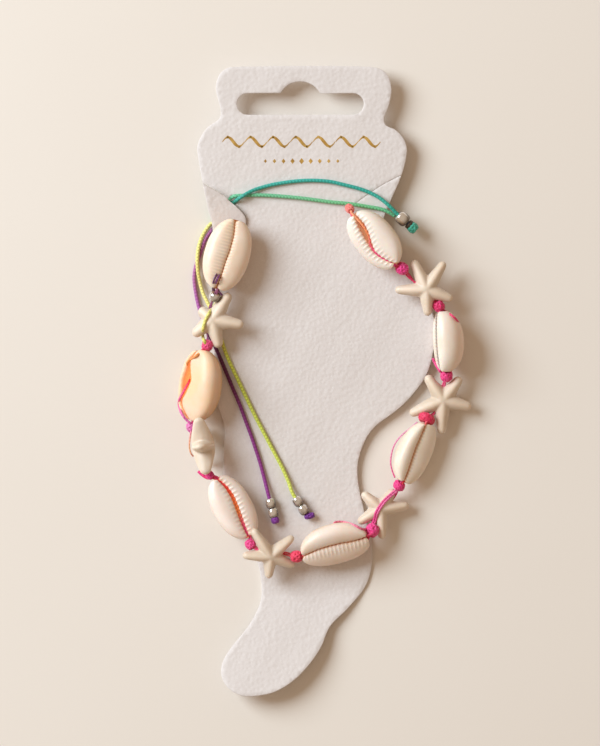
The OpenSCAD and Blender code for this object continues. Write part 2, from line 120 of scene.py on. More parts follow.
def hash01(n):
    """A number from 0 to 1 that looks random and is the same each time."""
    return math.modf(abs(math.sin(n * 12.9898 + 4.1) * 43758.5453))[0]


def smooth_path(points, step):
    """A Catmull-Rom line through points, cut into even steps, and the run along it."""
    p = np.asarray(points, float)
    e = np.vstack([2 * p[0] - p[1], p, 2 * p[-1] - p[-2]])
    out = []
    for a, b, c, d in zip(e, e[1:], e[2:], e[3:]):
        n = max(2, int(np.linalg.norm(c - b) / step * 3))
        t = np.linspace(0, 1, n, endpoint=False)[:, None]
        out.append(0.5 * (2 * b + (c - a) * t + (2 * a - 5 * b + 4 * c - d) * t ** 2
                          + (3 * b - a - 3 * c + d) * t ** 3))
    line = np.vstack(out + [p[-1:]])
    run = np.concatenate([[0], np.cumsum(np.linalg.norm(np.diff(line, axis=0), axis=1))])
    s = np.linspace(0, run[-1], max(3, int(round(run[-1] / step)) + 1))
    return np.stack([np.interp(s, run, line[:, k]) for k in range(3)], axis=1), s


def ring_quads(rings, sides, closed=False):
    """Faces between rings of equally many points; closed also joins the last ring to the first."""
    return [(i * sides + k, i * sides + (k + 1) % sides,
             (i + 1) % rings * sides + (k + 1) % sides, (i + 1) % rings * sides + k)
            for i in range(rings if closed else rings - 1) for k in range(sides)]


def new_mesh(name, verts, faces):
    mesh = bpy.data.meshes.new(name)
    mesh.from_pydata([tuple(v) for v in verts], [], [tuple(int(i) for i in f) for f in faces])
    mesh.validate()
    return mesh


def piece(name, verts, faces, mat, slot, replaces=(), marks=None, tint=None, smooth=True):
    """A mesh piece, in millimetres, that rides on the part's body."""
    mesh = new_mesh(name, np.asarray(verts, float) * MM, faces)
    for key, values in (marks or {}).items():
        layer = mesh.attributes.new(key, "FLOAT", "POINT")
        layer.data.foreach_set("value", np.asarray(values, np.float32).ravel())
    if tint is not None:
        layer = mesh.color_attributes.new("tint", "FLOAT_COLOR", "POINT")
        colours = np.hstack([tint, np.ones((len(tint), 1))])
        layer.data.foreach_set("color", colours.astype(np.float32).ravel())
    bm = bmesh.new()
    bm.from_mesh(mesh)
    bmesh.ops.recalc_face_normals(bm, faces=bm.faces)
    bm.to_mesh(mesh)
    bm.free()
    if smooth:
        mesh.polygons.foreach_set("use_smooth", [True] * len(mesh.polygons))
    obj = put_in(name, mesh)
    obj.data.materials.append(mat)
    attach(obj, "root")
    if replaces:
        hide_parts(*replaces)
    return obj


class Look:
    """A procedural material, with short ways to add to its nodes."""

    def __init__(self, name):
        self.mat = bpy.data.materials.new(name)
        self.mat.use_nodes = True
        self.nodes, self.links = self.mat.node_tree.nodes, self.mat.node_tree.links
        self.inputs = self.nodes["Principled BSDF"].inputs
        self.coord = self.nodes.new("ShaderNodeTexCoord").outputs["Object"]

    def put(self, socket, value):
        """Links a socket to another one, or sets it to a constant."""
        if isinstance(value, bpy.types.NodeSocket):
            self.links.new(value, socket)
        else:
            socket.default_value = value

    def shader(self, values):
        """Sets the shader's inputs by their names."""
        for name, value in values.items():
            self.put(self.inputs[name], value)

    def mark(self, key, output="Fac"):
        """A mesh attribute."""
        node = self.nodes.new("ShaderNodeAttribute")
        node.attribute_name = key
        return node.outputs[output]

    def mix(self, fac, a, b, blend="MIX"):
        """A colour mix; each of fac, a and b is a socket or a constant."""
        node = self.nodes.new("ShaderNodeMix")
        node.data_type, node.blend_type = "RGBA", blend
        for key, value in (("Factor", fac), (6, a), (7, b)):
            self.put(node.inputs[key], value)
        return node.outputs[2]

    def times(self, a, b):
        return self.mix(1.0, a, b, "MULTIPLY")

    def ramp(self, source, stops):
        """A ramp from (place, grey) stops."""
        node = self.nodes.new("ShaderNodeValToRGB")
        while len(node.color_ramp.elements) < len(stops):
            node.color_ramp.elements.new(0.5)
        for element, (place, grey) in zip(node.color_ramp.elements, stops):
            element.position = place
            element.color = (grey, grey, grey, 1)
        self.links.new(source, node.inputs["Fac"])
        return node.outputs["Color"]

    def noise(self, scale, detail=3.0, rough=0.55):
        node = self.nodes.new("ShaderNodeTexNoise")
        for name, value in (("Scale", scale), ("Detail", detail), ("Roughness", rough)):
            node.inputs[name].default_value = value
        self.links.new(self.coord, node.inputs["Vector"])
        return node.outputs["Fac"]

    def bump(self, height, strength, distance):
        """Relief on top of any that is there already."""
        node = self.nodes.new("ShaderNodeBump")
        node.inputs["Strength"].default_value = strength
        node.inputs["Distance"].default_value = distance
        self.links.new(height, node.inputs["Height"])
        if self.inputs["Normal"].is_linked:
            self.links.new(self.inputs["Normal"].links[0].from_socket, node.inputs["Normal"])
        self.links.new(node.outputs["Normal"], self.inputs["Normal"])


# Cords
def cord_material():
    look = Look("braided_cord")
    fibre = look.noise(5200.0, 2.0)
    # Painted shade: the braid's low places, where the relief mark is low, are darker
    depth = look.ramp(look.mark("relief"), [(0.0, 0.45), (0.45, 0.85), (1.0, 1.12)])
    tone = look.times(look.mark("tint", "Color"), depth)
    tone = look.times(tone, look.ramp(fibre, [(0.3, 0.90), (0.7, 1.08)]))
    look.shader({"Base Color": tone, "Roughness": 0.5, "Specular IOR Level": 0.4,
                 "Sheen Weight": 0.25, "Sheen Roughness": 0.4})
    look.bump(fibre, 0.35, 0.00004)
    return look.mat


CORD_MAT = cord_material()


def frames_along(p):
    """At each point of a line, two directions square to it that don't twist."""
    t = np.gradient(p, axis=0)
    t /= np.linalg.norm(t, axis=1)[:, None]
    up = np.array([0.1, 0.2, 1.0])
    ups = []
    for d in t:
        up = unit(up - (up @ d) * d)
        ups.append(up)
    return np.array(ups), np.cross(t, np.array(ups))


def braid(s, theta, pitch, relief):
    """Radius factor and relief of a round braid at arc length s and angle theta."""
    u, w = theta * 2 / math.pi, s / pitch
    h = np.sqrt(np.abs(np.sin(math.pi * (u / 2 + w)) * np.sin(math.pi * (u / 2 - w))))
    return 1 - relief + relief * h, h


def cord_mesh(points, r, colours, pitch, sides, step=0.13, relief=0.12, round_ends=True):
    """Vertices, faces, tints and relief of one braided cord.
    Its colours are spread evenly along it, or each has its place from 0 to 1."""
    p, s = smooth_path(points, step)
    ups, across = frames_along(p)
    theta = np.linspace(0, 2 * math.pi, sides, endpoint=False)
    radius = np.full(len(p), float(r))
    if round_ends:
        for end in (s, s[-1] - s):
            radius *= np.sqrt(np.clip(1 - (1 - np.clip(end / (0.6 * r), 0, 1)) ** 2, 0.02, 1))
    f, h = braid(s[:, None], theta[None, :], pitch, relief)
    v = p[:, None, :] + (radius[:, None] * f)[..., None] * (
        np.cos(theta)[None, :, None] * ups[:, None, :] + np.sin(theta)[None, :, None] * across[:, None, :])
    faces = ring_quads(len(p), sides)
    faces += [tuple(range(sides)), tuple((len(p) - 1) * sides + k for k in range(sides - 1, -1, -1))]
    if not isinstance(colours[0], tuple):
        colours = list(zip(np.linspace(0, 1, len(colours)), colours))
    places, shades = [c[0] for c in colours], np.array([lin(c[1]) for c in colours])
    tint = np.stack([np.interp(s / s[-1], places, shades[:, k]) for k in range(3)], axis=1)
    return v.reshape(-1, 3), faces, np.repeat(tint, sides, axis=0), np.clip(h, 0, 1).reshape(-1)


def join_faces(parts):
    """The faces of several (vertices, faces, ...) parts, numbered for their vertices in one row."""
    bases = np.cumsum([0] + [len(part[0]) for part in parts])
    return [tuple(i + base for i in face) for part, base in zip(parts, bases) for face in part[1]]


def cord_object(name, parts, slot, replaces=()):
    """One piece from the meshes of its cords."""
    verts, _, tints, reliefs = zip(*parts)
    return piece(name, np.vstack(verts), join_faces(parts), CORD_MAT, slot, replaces,
                 {"relief": np.concatenate(reliefs)}, np.vstack(tints))


def cord_piece(name, lines, slot, replaces=()):
    """One piece from several strands: (points, radius, colours, pitch)."""
    parts = [cord_mesh(*line, sides=16 if line[1] > 0.4 else 12) for line in lines]
    return cord_object(name, parts, slot, replaces)


# The routes of the free ends, along the lines in the photograph
YELLOW = [
    (-28.2, 40.6, 1.0), (-29.3, 39.7, 0.9), (-30.8, 37.4, 0.8), (-31.8, 34.6, 1.2),
    (-32.2, 31.6, 1.8), (-32.1, 28.6, 1.6), (-31.6, 25.6, 1.0), (-30.8, 22.7, 1.5),
    (-29.7, 20.4, 2.5), (-28.6, 18.2, 3.35), (-27.5, 15.2, 3.3), (-26.5, 12.0, 3.2),
    (-25.4, 8.6, 3.1), (-23.9, 4.8, 2.95), (-22.1, 1.0, 2.8), (-20.3, -2.8, 2.7),
    (-18.5, -6.6, 2.6), (-16.6, -10.4, 2.5), (-14.6, -14.2, 2.4), (-12.6, -18.0, 2.25),
    (-10.6, -21.8, 2.2), (-9.0, -25.4, 2.35), (-7.8, -28.6, 2.9), (-4.6, -33.4, 2.6),
]
PURPLE = [
    (-27.2, 39.8, 1.0), (-28.5, 38.6, 0.8), (-30.1, 36.4, 0.6), (-31.1, 33.8, 0.6),
    (-31.8, 31.6, 0.6), (-32.6, 29.4, 0.6), (-33.0, 26.6, 0.6), (-32.7, 23.4, 0.6),
    (-32.1, 20.2, 0.7), (-31.3, 17.2, 1.1), (-30.3, 14.4, 2.0), (-29.0, 11.6, 3.0),
    (-27.6, 8.8, 3.15), (-26.1, 5.4, 3.0), (-24.6, 1.8, 2.85), (-23.0, -2.0, 2.75),
    (-21.4, -5.8, 2.65), (-20.0, -9.6, 2.55), (-18.6, -13.4, 2.4), (-17.3, -17.2, 2.3),
    (-16.1, -21.0, 2.2), (-15.1, -24.8, 2.3), (-14.2, -28.4, 2.7), (-12.6, -34.4, 2.6),
]
TEAL = [
    (-23.7, 44.7, 1.9), (-22.8, 45.7, 3.4), (-21.9, 46.4, 4.8), (-20.5, 47.3, 5.4),
    (-18.6, 48.4, 4.9), (-16.2, 49.3, 4.4), (-13.2, 50.1, 4.3), (-9.8, 50.7, 4.3),
    (-6.2, 51.1, 4.3), (-2.4, 51.2, 4.3), (1.6, 50.9, 4.3), (5.1, 50.1, 4.3),
    (8.3, 49.3, 4.3), (11.2, 48.3, 4.3), (13.9, 46.9, 4.6), (16.2, 45.1, 5.0),
    (17.6, 43.7, 4.9), (18.6, 42.7, 4.7), (22.0, 39.7, 4.0),
]
GREEN = [
    (-24.6, 45.4, 1.9), (-23.9, 46.5, 3.2), (-22.8, 47.2, 4.1), (-20.6, 47.4, 4.2),
    (-17.6, 47.5, 4.2), (-13.9, 47.4, 4.2), (-9.8, 47.1, 4.2), (-5.7, 46.7, 4.2),
    (-1.8, 46.2, 4.15), (2.0, 45.7, 4.15), (5.4, 45.4, 4.15), (8.4, 45.0, 4.1),
    (11.4, 44.5, 4.1), (14.2, 44.0, 4.15), (16.4, 43.2, 4.05), (18.1, 42.1, 3.6),
]
# How far past a free end's last point the middle of its end knot lies
END_KNOT_ON = 0.75


def tail(name, route, colours, slot):
    """One free end, as a braided cord along its route."""
    obj = cord_object(name + "_cord", [cord_mesh(route, 0.5, colours, 0.85, 20, step=0.12)], slot, [name])
    line, _ = smooth_path(route, 0.12)
    path = line[::max(1, len(line) // 60)]
    path = np.vstack([path, line[-1]]) if np.linalg.norm(path[-1] - line[-1]) > 0.01 else path


# Knots and metal beads
def basis(direction, spin=0.0):
    """Three axes with the last along direction."""
    d = unit(direction)
    a = unit(np.cross(d, [0.3, 0.2, 1.0] if abs(d[2]) < 0.9 else [1.0, 0.0, 0.0]))
    b = np.cross(d, a)
    c, s = math.cos(spin), math.sin(spin)
    return np.stack([a * c + b * s, b * c - a * s, d])


def ball(centre, axes, r, half, m, n):
    """A ball that reaches r about the last of axes and half along it, with m sides and n rings."""
    a = math.pi * (np.arange(n + 1) / n - 0.5)[:, None]
    b = 2 * math.pi * np.arange(m)[None, :] / m
    c = np.abs(np.cos(a))
    local = np.stack([r * c * np.cos(b), r * c * np.sin(b), half * np.sin(a) + 0 * b], axis=2)
    return local.reshape(-1, 3) @ axes + centre, ring_quads(n + 1, m)


def knot_piece(name, centre, direction, d, length, colours, slot, seed):
    """A tied knot: cord wound round a core, seven times up and down in four turns, and once
    about its waist."""
    r = 0.115 * d
    belt = 0.5 * d - r
    t = np.linspace(0, 2 * math.pi, 190)
    axes = basis(direction, seed * 2 * math.pi)
    h = 0.84 * np.sin(7 * t) + 0.10 * np.sin(4 * t + seed * 6)
    w = belt * np.sqrt(1 - 0.68 * h ** 2)
    winding = np.stack([w * np.cos(4 * t), w * np.sin(4 * t), (0.5 * length - r) * 1.06 * h], axis=1)
    waist = np.stack([belt * np.cos(t), belt * np.sin(t), 0.20 * length * np.sin(t + seed * 5)], axis=1)
    parts = [cord_mesh(local @ axes + centre, r, colours, 0.62, 9, step=0.18, relief=0.14, round_ends=False)
             for local in (winding, waist)]
    core, faces = ball(centre, axes, 0.425 * d, 0.425 * length, 16, 10)
    # The core shows between the windings and takes a middle relief, so it is painted a little darker, as
    # shade
    parts.append((core, faces, np.tile(lin(colours[0]), (len(core), 1)), np.full(len(core), 0.45)))
    return cord_object(name + "_tied", parts, slot, [name])


def metal_material(name, bright, dark, rough):
    look = Look(name)
    patch, fine = look.noise(620.0, 3.0, 0.5), look.noise(2600.0, 3.0, 0.6)
    # Painted reflection: the mark mixes from the dark tone on the shaded sides to the bright tone where the
    # bead faces the light
    tone = look.mix(look.mark("painted_reflection"), rgba(dark), rgba(bright))
    tone = look.times(tone, look.ramp(patch, [(0.30, 0.72), (0.52, 1.0)]))
    look.shader({"Base Color": tone, "Metallic": 0.88,
                 "Roughness": look.ramp(fine, [(0.3, rough * 0.8), (0.75, rough * 1.9)])})
    look.bump(patch, 0.22, 0.0001)
    return look.mat


# Each metal's bright and dark tones are the two ends of its painted reflection
SILVER = metal_material("silver_bead", "#FFFDFA", "#857A70", 0.10)
DARK_METAL = metal_material("dark_ring", "#6A6058", "#332C28", 0.32)


def bead_piece(name, centre, direction, profile, mat=SILVER, slot="silver_bead", spin=0.0, sides=44):
    """A turned bead: profile is (radius, height) pairs, closed through the bore."""
    radii, heights = np.array(profile).T[:, :, None]
    ang = np.linspace(0, 2 * math.pi, sides, endpoint=False)
    local = np.stack([radii * np.cos(ang), radii * np.sin(ang), heights + 0 * ang], axis=2)
    v = local.reshape(-1, 3) @ basis(direction, spin)
    # Painted reflection: each bead is painted bright where it faces the light at the upper left, and dark
    # low on its sides
    way = v / np.linalg.norm(v, axis=1)[:, None]
    painted_reflection = smoothstep(0.12, 0.80, way @ unit((-0.38, 0.34, 0.86)))
    return piece(name + "_turned", v + centre, ring_quads(len(profile), sides, closed=True), mat, slot,
                 [name], {"painted_reflection": painted_reflection})


def barrel(d, h, bore, power):
    """A bead's profile: a barrel between flat ends, with a rounded bore."""
    a = np.radians(np.linspace(-90, 90, 25))
    radii = bore + (d / 2 - bore) * np.cos(a) ** power
    heights = h / 2 * np.sign(a) * np.abs(np.sin(a)) ** power
    return [*zip(radii, heights), (bore - 0.06, h / 2 - 0.12), (bore - 0.06, 0.12 - h / 2)]


def on_tail(route, back):
    """A place that far back from a free end's last point, and the line's direction there."""
    way = unit(np.array(route[-1]) - np.array(route[-2]))
    return np.array(route[-1]) - way * back, way


SMALL_BEAD = barrel(2.6, 2.5, 0.6, 0.8)
teal_ends = [
    bead_piece("teal_bead", *on_tail(TEAL, 2.8), barrel(3.4, 3.2, 0.62, 0.62)),
    bead_piece("teal_ring", *on_tail(TEAL, 0.5), barrel(2.4, 0.9, 0.62, 0.5), DARK_METAL, "dark_metal"),
    knot_piece("teal_end_knot", *on_tail(TEAL, -END_KNOT_ON), 2.9, 2.7,
               ["#3AA58F", "#58C4AC"], "cord_teal", 0.3),
]
yellow_ends = [
    bead_piece("yellow_bead_1", *on_tail(YELLOW, 3.7), SMALL_BEAD, spin=0.4),
    bead_piece("yellow_bead_2", *on_tail(YELLOW, 1.1), SMALL_BEAD, spin=1.9),
    knot_piece("yellow_end_knot", on_tail(YELLOW, -END_KNOT_ON)[0] + (0.5, 0, 0), (1, 0.25, 0), 1.7, 2.9,
               ["#6E2C90", "#8E44A6"], "cord_purple", 0.7),
]
purple_ends = [
    bead_piece("purple_bead_1", *on_tail(PURPLE, 3.7), SMALL_BEAD, spin=2.6),
    bead_piece("purple_bead_2", *on_tail(PURPLE, 1.15), SMALL_BEAD, spin=0.9),
    knot_piece("purple_end_knot", *on_tail(PURPLE, -END_KNOT_ON), 2.2, 2.0,
               ["#7A2C94", "#9A4CB4"], "cord_purple", 0.15),
]
tail("teal_tail", TEAL, [(0, "#3FA896"), (0.3, "#3FB3A6"), (0.7, "#37AFA0"), (0.93, "#35A590"),
                         (1, "#7A4C9A")], "cord_teal")
tail("green_tail", GREEN, [(0, "#6FC69C"), (0.4, "#7CCB9C"), (0.8, "#79C98E"), (1, "#6CC496")],
     "cord_green")
tail("yellow_tail", YELLOW, [(0, "#E9E58A"), (0.2, "#F0E68C"), (0.35, "#EFDC7A"), (0.45, "#CFD552"),
                             (0.7, "#D3DF5E"), (1, "#DDE66C")], "cord_yellow")
tail("purple_tail", PURPLE, [(0, "#A8568E"), (0.2, "#B26AA0"), (0.32, "#B45AB4"), (0.42, "#5C1C48"),
                             (0.5, "#601E50"), (0.62, "#7E2C70"), (0.8, "#94388C"), (1, "#9A3C9C")],
     "cord_purple")


# The string's places, as in the CAD: charm 0 is the first shell, charm 1 the first starfish, and so on.
# The cord's canal lies CANAL_Z over a shell's middle line, and ends CANAL_IN inside the shell. The cord
# passes GAP_R from a starfish's middle, which is STAR_CORE and STAR_STACK over what it lies on.
CANAL_Z, CANAL_IN, GAP_R = 0.9, 0.2, 3.6
STAR_CORE, STAR_STACK = 1.5, 0.9
# A shell has its middle, 1 where it lies on the card, its lift, its heading and roll in degrees, and its
# size. A starfish has its turn about X, Y and Z, the arms before the gaps that the cord goes in by and
# comes out by, and each arm's direction and reach. Their measures are the CAD's.
Shell = namedtuple("Shell", "x y on_card lift heading roll length width")
Star = namedtuple("Star", "x y on_card lift turned first last arms")
SHELLS = [
    Shell(-24.6, 32.3, 1, 0.1, 254, -8, 18.2, 11.6),
    Shell(-31.3, -1.0, 0, 1.2, 263, 46, 17.5, 11.2),
    Shell(-23.2, -31.9, 1, 0.1, 299.5, -20, 17.0, 10.2),
    Shell(2.7, -41.6, 1, 0.1, 13.4, 27, 16.4, 9.8),
    Shell(23.0, -17.9, 0, 0, 66, 30, 15.0, 9.2),
    Shell(31.2, 10.3, 0, 0.9, 93, -77, 14.8, 9.6),
    Shell(12.9, 36.2, 1, 0.1, 130, -25, 16.6, 10.7),
]
STARS = [
    Star(-28.2, 15.7, 1, 2.0, (0, -5, 0), 0, 2,
         ((58, 8.1), (140, 4.6), (217, 6.4), (282, 7.2), (351, 8.0))),
    Star(-30.6, -16.3, 0, 4.9, (84, 0, 97), 4, 2,
         ((27, 8.3), (90, 7.4), (162, 7.6), (234, 7.6), (306, 7.6))),
    Star(-13.7, -44.0, 1, 3.0, (17, 12, 0), 1, 4,
         ((41, 7.7), (125, 8.6), (180, 7.2), (270, 6.2), (337, 7.2))),
    Star(14.2, -32.3, 0, 1.2, (0, 6, 0), 3, 0,
         ((7, 7.6), (63, 6.2), (137, 6.2), (212, 6.2), (275, 7.7))),
    Star(30.2, -4.6, 0, 1.2, (5, 3, 0), 2, 0,
         ((52, 7.4), (124, 7.6), (203, 8.4), (268, 7.8), (346, 7.6))),
    Star(26.0, 23.4, 1, 1.2, (0, 0, 0), 3, 1,
         ((57, 8.5), (114, 8.3), (180, 8.0), (273, 6.7), (340, 7.2))),
]
# The middles of the knots in the loop, in order along the cord
KNOTS = [
    (-29.6, 9.3), (-33.7, -11.4), (-29.0, -23.6), (-18.7, -41.2), (-7.0, -44.3), (12.2, -37.7),
    (19.1, -26.3), (26.5, -9.3), (31.1, 1.15), (29.1, 19.3), (19.8, 28.8), (6.5, 44.0),
]
# The loop's ends: through the card to the first shell, and from the last knot back behind the card
UNDER_LEFT = [
    (-28.1, 39.5, 2.1), (-28.2, 38.0, 2.0), (-27.4, 36.4, 1.7), (-25.9, 35.6, 1.4),
    (-24.4, 35.7, 1.6), (-23.6, 36.5, 2.4), (-23.4, 37.0, 3.4), (-23.6, 37.2, 4.6),
    (-23.6, 36.9, 6.0), (-23.8, 35.8, 7.3),
]
UNDER_RIGHT = [
    (6.2, 44.2, 5.2), (6.2, 44.1, 3.6), (5.6, 44.2, 2.2), (4.2, 44.7, 1.2), (1.4, 45.4, 0.8),
    (-2.4, 46.2, 0.6), (-7.0, 46.9, 0.6), (-12.0, 47.3, 0.6), (-17.0, 47.3, 0.6),
    (-21.0, 46.7, 0.7), (-23.3, 45.8, 0.8), (-24.3, 44.9, 0.8),
]


# A shell's height for its width, and how much of that height is over its middle line
SHELL_TALL, SHELL_OVER = 0.72, 0.38


def shell_up(width):
    return SHELL_OVER * SHELL_TALL * width


def shell_down(width):
    return (1 - SHELL_OVER) * SHELL_TALL * width


def shell_at(s):
    """The middle of a shell that is rolled over and rests on the card or at its lift."""
    a = math.radians(s.roll)
    rest = math.hypot(s.width / 2 * math.sin(a), shell_down(s.width) * math.cos(a))
    return np.array([s.x, s.y, s.on_card * card_top(s.y) + s.lift + rest])


def in_shell(s, p):
    """Points of a shell's own frame in the part's frame."""
    return shell_at(s) + turn(p, (s.roll, 0, s.heading))


def star_at(s):
    return np.array([s.x, s.y, s.on_card * card_top(s.y) + s.lift + STAR_CORE + STAR_STACK])


def in_gap(s, k):
    """Where the cord passes a starfish, between its arm k and the next."""
    a, b = s.arms[k][0], s.arms[(k + 1) % 5][0]
    a = math.radians((a + b + 360) / 2 if k == 4 else (a + b) / 2)
    return star_at(s) + turn((GAP_R * math.cos(a), GAP_R * math.sin(a), 0), s.turned)


def canal_end(i, side):
    """Where the cord goes into charm i, at side -1, or comes out of it, at side 1."""
    charm = (STARS if i % 2 else SHELLS)[i // 2]
    if i % 2:
        return in_gap(charm, charm.first if side < 0 else charm.last)
    return in_shell(charm, (side * (charm.length / 2 - CANAL_IN), 0, CANAL_Z))


def way_in(i):
    return canal_end(i, -1)


def way_out(i):
    return canal_end(i, 1)


def inside(i):
    """The cord's points inside charm i."""
    if i % 2:
        return [(way_in(i) + way_out(i)) / 2]
    s = SHELLS[i // 2]
    return [in_shell(s, (f * s.length, 0, z)) for f, z in ((-0.3, 0.3), (0, 0), (0.3, 0.3))]


def knot_at(k):
    x, y = KNOTS[k - 1]
    z = card_top(y) + 4 if k == 12 else (way_out(k)[2] + way_in(k + 1)[2]) / 2
    return np.array([x, y, z])


def dir_in(k):
    """The cord's direction into knot k."""
    return unit(knot_at(k) - way_out(k))


def dir_out(k):
    """The cord's direction out of knot k."""
    return unit((np.array(UNDER_RIGHT[0]) if k == 12 else way_in(k + 1)) - knot_at(k))


SPACER_AT = way_out(0) + (way_in(1) - way_out(0)) * 0.45


# Card: the points of its outline and of its slits, which end in relief holes
RIM = [
    (-22.4, 80.1), (11.4, 80.1), (15.4, 78.8), (17.0, 75.2), (16.6, 71.0), (15.2, 67.0),
    (15.7, 65.3), (18.2, 64.0), (20.3, 61.6), (21.0, 58.7), (19.7, 52.8), (16.5, 45.2),
    (15.0, 40.5), (16.3, 35.1), (19.3, 30.2), (23.1, 25.4), (26.2, 20.8), (28.0, 15.8),
    (28.1, 10.6), (26.4, 2.8), (23.0, -2.5), (18.8, -6.8), (13.0, -11.2), (10.4, -14.8),
    (8.6, -20.4), (8.7, -26.0), (10.4, -33.8), (12.0, -41.0), (12.1, -46.5), (10.4, -52.1),
    (5.8, -57.9), (1.6, -62.2), (-0.8, -67.6), (-3.4, -71.6), (-7.4, -75.9), (-12.0, -78.9),
    (-16.8, -80.1), (-20.8, -80.1), (-24.0, -78.4), (-25.8, -75.6), (-25.9, -72.4),
    (-24.2, -68.8), (-18.8, -61.8), (-16.2, -56.4), (-15.8, -51.3), (-17.0, -45.4),
    (-20.6, -37.6), (-22.9, -32.0), (-25.2, -26.0), (-25.6, -20.0), (-25.2, -11.4),
    (-27.2, -4.6), (-27.9, 5.6), (-27.9, 33.5), (-28.4, 40.4), (-29.4, 44.2), (-32.1, 58.7),
    (-31.6, 61.5), (-29.6, 64.6), (-26.5, 67.0), (-26.2, 69.3), (-27.4, 74.5), (-26.6, 77.9),
    (-24.8, 79.6),
]
LEFT_SLIT = [
    (-31.6, 51.2), (-28.8, 49.6), (-26.7, 48.4), (-24.6, 46.9), (-22.3, 44.8), (-20.6, 43.1),
    (-19.8, 41.4), (-20.4, 39.2), (-23.4, 37.2),
]
RIGHT_SLIT = [
    (20.4, 53.0), (17.4, 51.5), (15.1, 50.3), (12.9, 48.9), (10.6, 47.3), (8.3, 45.6), (6.4, 43.8),
]
# How wide the slits and their relief holes are, and how many degrees the flap stands up
SLIT_W, RELIEF_D, FLAP_LIFT = 0.15, 1.5, 14.0
# The hang slot's middle, width and height, and the radius of the arc over its middle
SLOT_AT, SLOT_W, SLOT_H, BUMP_R = (-6.0, 70.7), 32.4, 5.6, 5.8
# The notch that the cords come up through: its place, its size and its turn
NOTCH_AT, NOTCH_HALF, NOTCH_LOW, NOTCH_HIGH, NOTCH_TURN = np.array([-23.1, 46.3]), 1.3, -0.7, 0.8, -42
# The flap's hinge, the direction along it, and the direction from it into the flap
HINGE_FROM, HINGE_TO = np.array([-28.4, 36.8]), np.array([-23.4, 37.2])
HINGE_ALONG = unit(HINGE_TO - HINGE_FROM)
HINGE_AWAY = np.array([-HINGE_ALONG[1], HINGE_ALONG[0]])
# Each bend is an arc that reaches this far to both sides of its line
BEND_HALF = 1.0


def smooth_loop(points, steps):
    """A smooth closed line through points, in the plane."""
    p = np.asarray(points, float)
    n, out = len(p), []
    for i in range(n):
        a, b = p[i], p[(i + 1) % n]
        reach = np.linalg.norm(b - a)
        ta = unit(b - p[i - 1]) * reach
        tb = unit(p[(i + 2) % n] - a) * reach
        for t in np.arange(steps) / steps:
            out.append((2 * t ** 3 - 3 * t ** 2 + 1) * a + (t ** 3 - 2 * t ** 2 + t) * ta
                       + (3 * t ** 2 - 2 * t ** 3) * b + (t ** 3 - t ** 2) * tb)
    return np.array(out)


def ribbon(points, w):
    """The outline of a line of width w, one width or one for each point."""
    d = np.gradient(points, axis=0)
    d /= np.linalg.norm(d, axis=1)[:, None]
    n = np.stack([-d[:, 1], d[:, 0]], axis=1) * np.reshape(w, (-1, 1)) / 2
    return np.vstack([points + n, (points - n)[::-1]])


def circle(x, y, r, n=28, start=0.0, sweep=360.0, close=False):
    """Points of a circle or an arc; close adds the arc's last point."""
    a = np.radians(start + sweep * np.arange(n + (1 if close else 0)) / n)
    return np.stack([x + r * np.cos(a), y + r * np.sin(a)], axis=1)


def dense(points, step):
    """A smooth open line in the plane, cut into even steps."""
    line, _ = smooth_path([(x, y, 0) for x, y in points], step)
    return line[:, :2]


def slot_outline():
    """The hang slot: two round ends, and a larger arc over its middle."""
    x, y = SLOT_AT
    half = SLOT_H / 2
    run = SLOT_W / 2 - half
    rise = math.degrees(math.asin(half / BUMP_R))
    return np.vstack([circle(x + run, y, half, 16, -90, 180, True),
                      circle(x, y, BUMP_R, 26, rise, 180 - 2 * rise, True),
                      circle(x - run, y, half, 16, 90, 180, True)])


def inside_poly(points, poly):
    """Which points lie inside a closed outline."""
    x, y = points[:, 0], points[:, 1]
    found = np.zeros(len(points), bool)
    for (x1, y1), (x2, y2) in zip(poly, np.roll(poly, -1, axis=0)):
        if y1 != y2:
            found ^= ((y1 > y) != (y2 > y)) & (x < (x2 - x1) * (y - y1) / (y2 - y1) + x1)
    return found


def near_line(points, poly, reach):
    """Which points lie nearer than reach to a closed outline."""
    near = np.zeros(len(points), bool)
    for a, b in zip(poly, np.roll(poly, -1, axis=0)):
        ab = b - a
        t = np.clip(((points - a) @ ab) / max(ab @ ab, 1e-9), 0, 1)
        near |= np.linalg.norm(points - (a + t[:, None] * ab), axis=1) < reach
    return near


FLAP_ZONE = np.vstack([dense(LEFT_SLIT, 0.5), HINGE_TO - HINGE_AWAY, HINGE_FROM - HINGE_AWAY,
                       HINGE_FROM - HINGE_AWAY + (-8, 0), (-40.0, 51.2)])
Crease = namedtuple("Crease", "x y turned half_long half_wide deep")
CREASES = [
    Crease(-24.1, 69.6, 4, 2.6, 0.32, 0.15), Crease(10.5, 68.0, -4, 4.8, 0.32, 0.15),
    Crease(-10.7, -53.2, -4, 5.0, 0.36, 0.16), Crease(-3.4, -50.5, 38, 3.2, 0.35, 0.08),
    Crease(-4.5, -59.5, 92, 4.6, 0.4, 0.05), Crease(4.0, -56.0, 30, 3.2, 0.4, 0.06),
]


def dent(x, y, crease, down, wider):
    """1 on a crease's line, moved down, and 0 away from it."""
    a = math.radians(crease.turned)
    x, y = x - crease.x, y - (crease.y - down)
    u = x * math.cos(a) + y * math.sin(a)
    v = y * math.cos(a) - x * math.sin(a)
    wander = 0.35 * np.sin(u * 1.3) + 0.2 * np.sin(u * 3.1 + 1)
    return np.exp(-(u / crease.half_long) ** 4) * np.exp(-((v - wander) / (crease.half_wide * wider)) ** 2)


def card_lift(x, y):
    """Slow waves and creases of the card's surface, in its own thickness direction."""
    z = 0.05 * np.sin(x * 0.21 + 1.0) * np.sin(y * 0.13 + 0.4) + 0.03 * np.sin(x * 0.47 - y * 0.31)
    for crease in CREASES:
        z = z + crease.deep * dent(x, y, crease, 0, 1)
        z = z - 0.5 * crease.deep * dent(x, y, crease, 1.6 * crease.half_wide, 1.4)
    return z


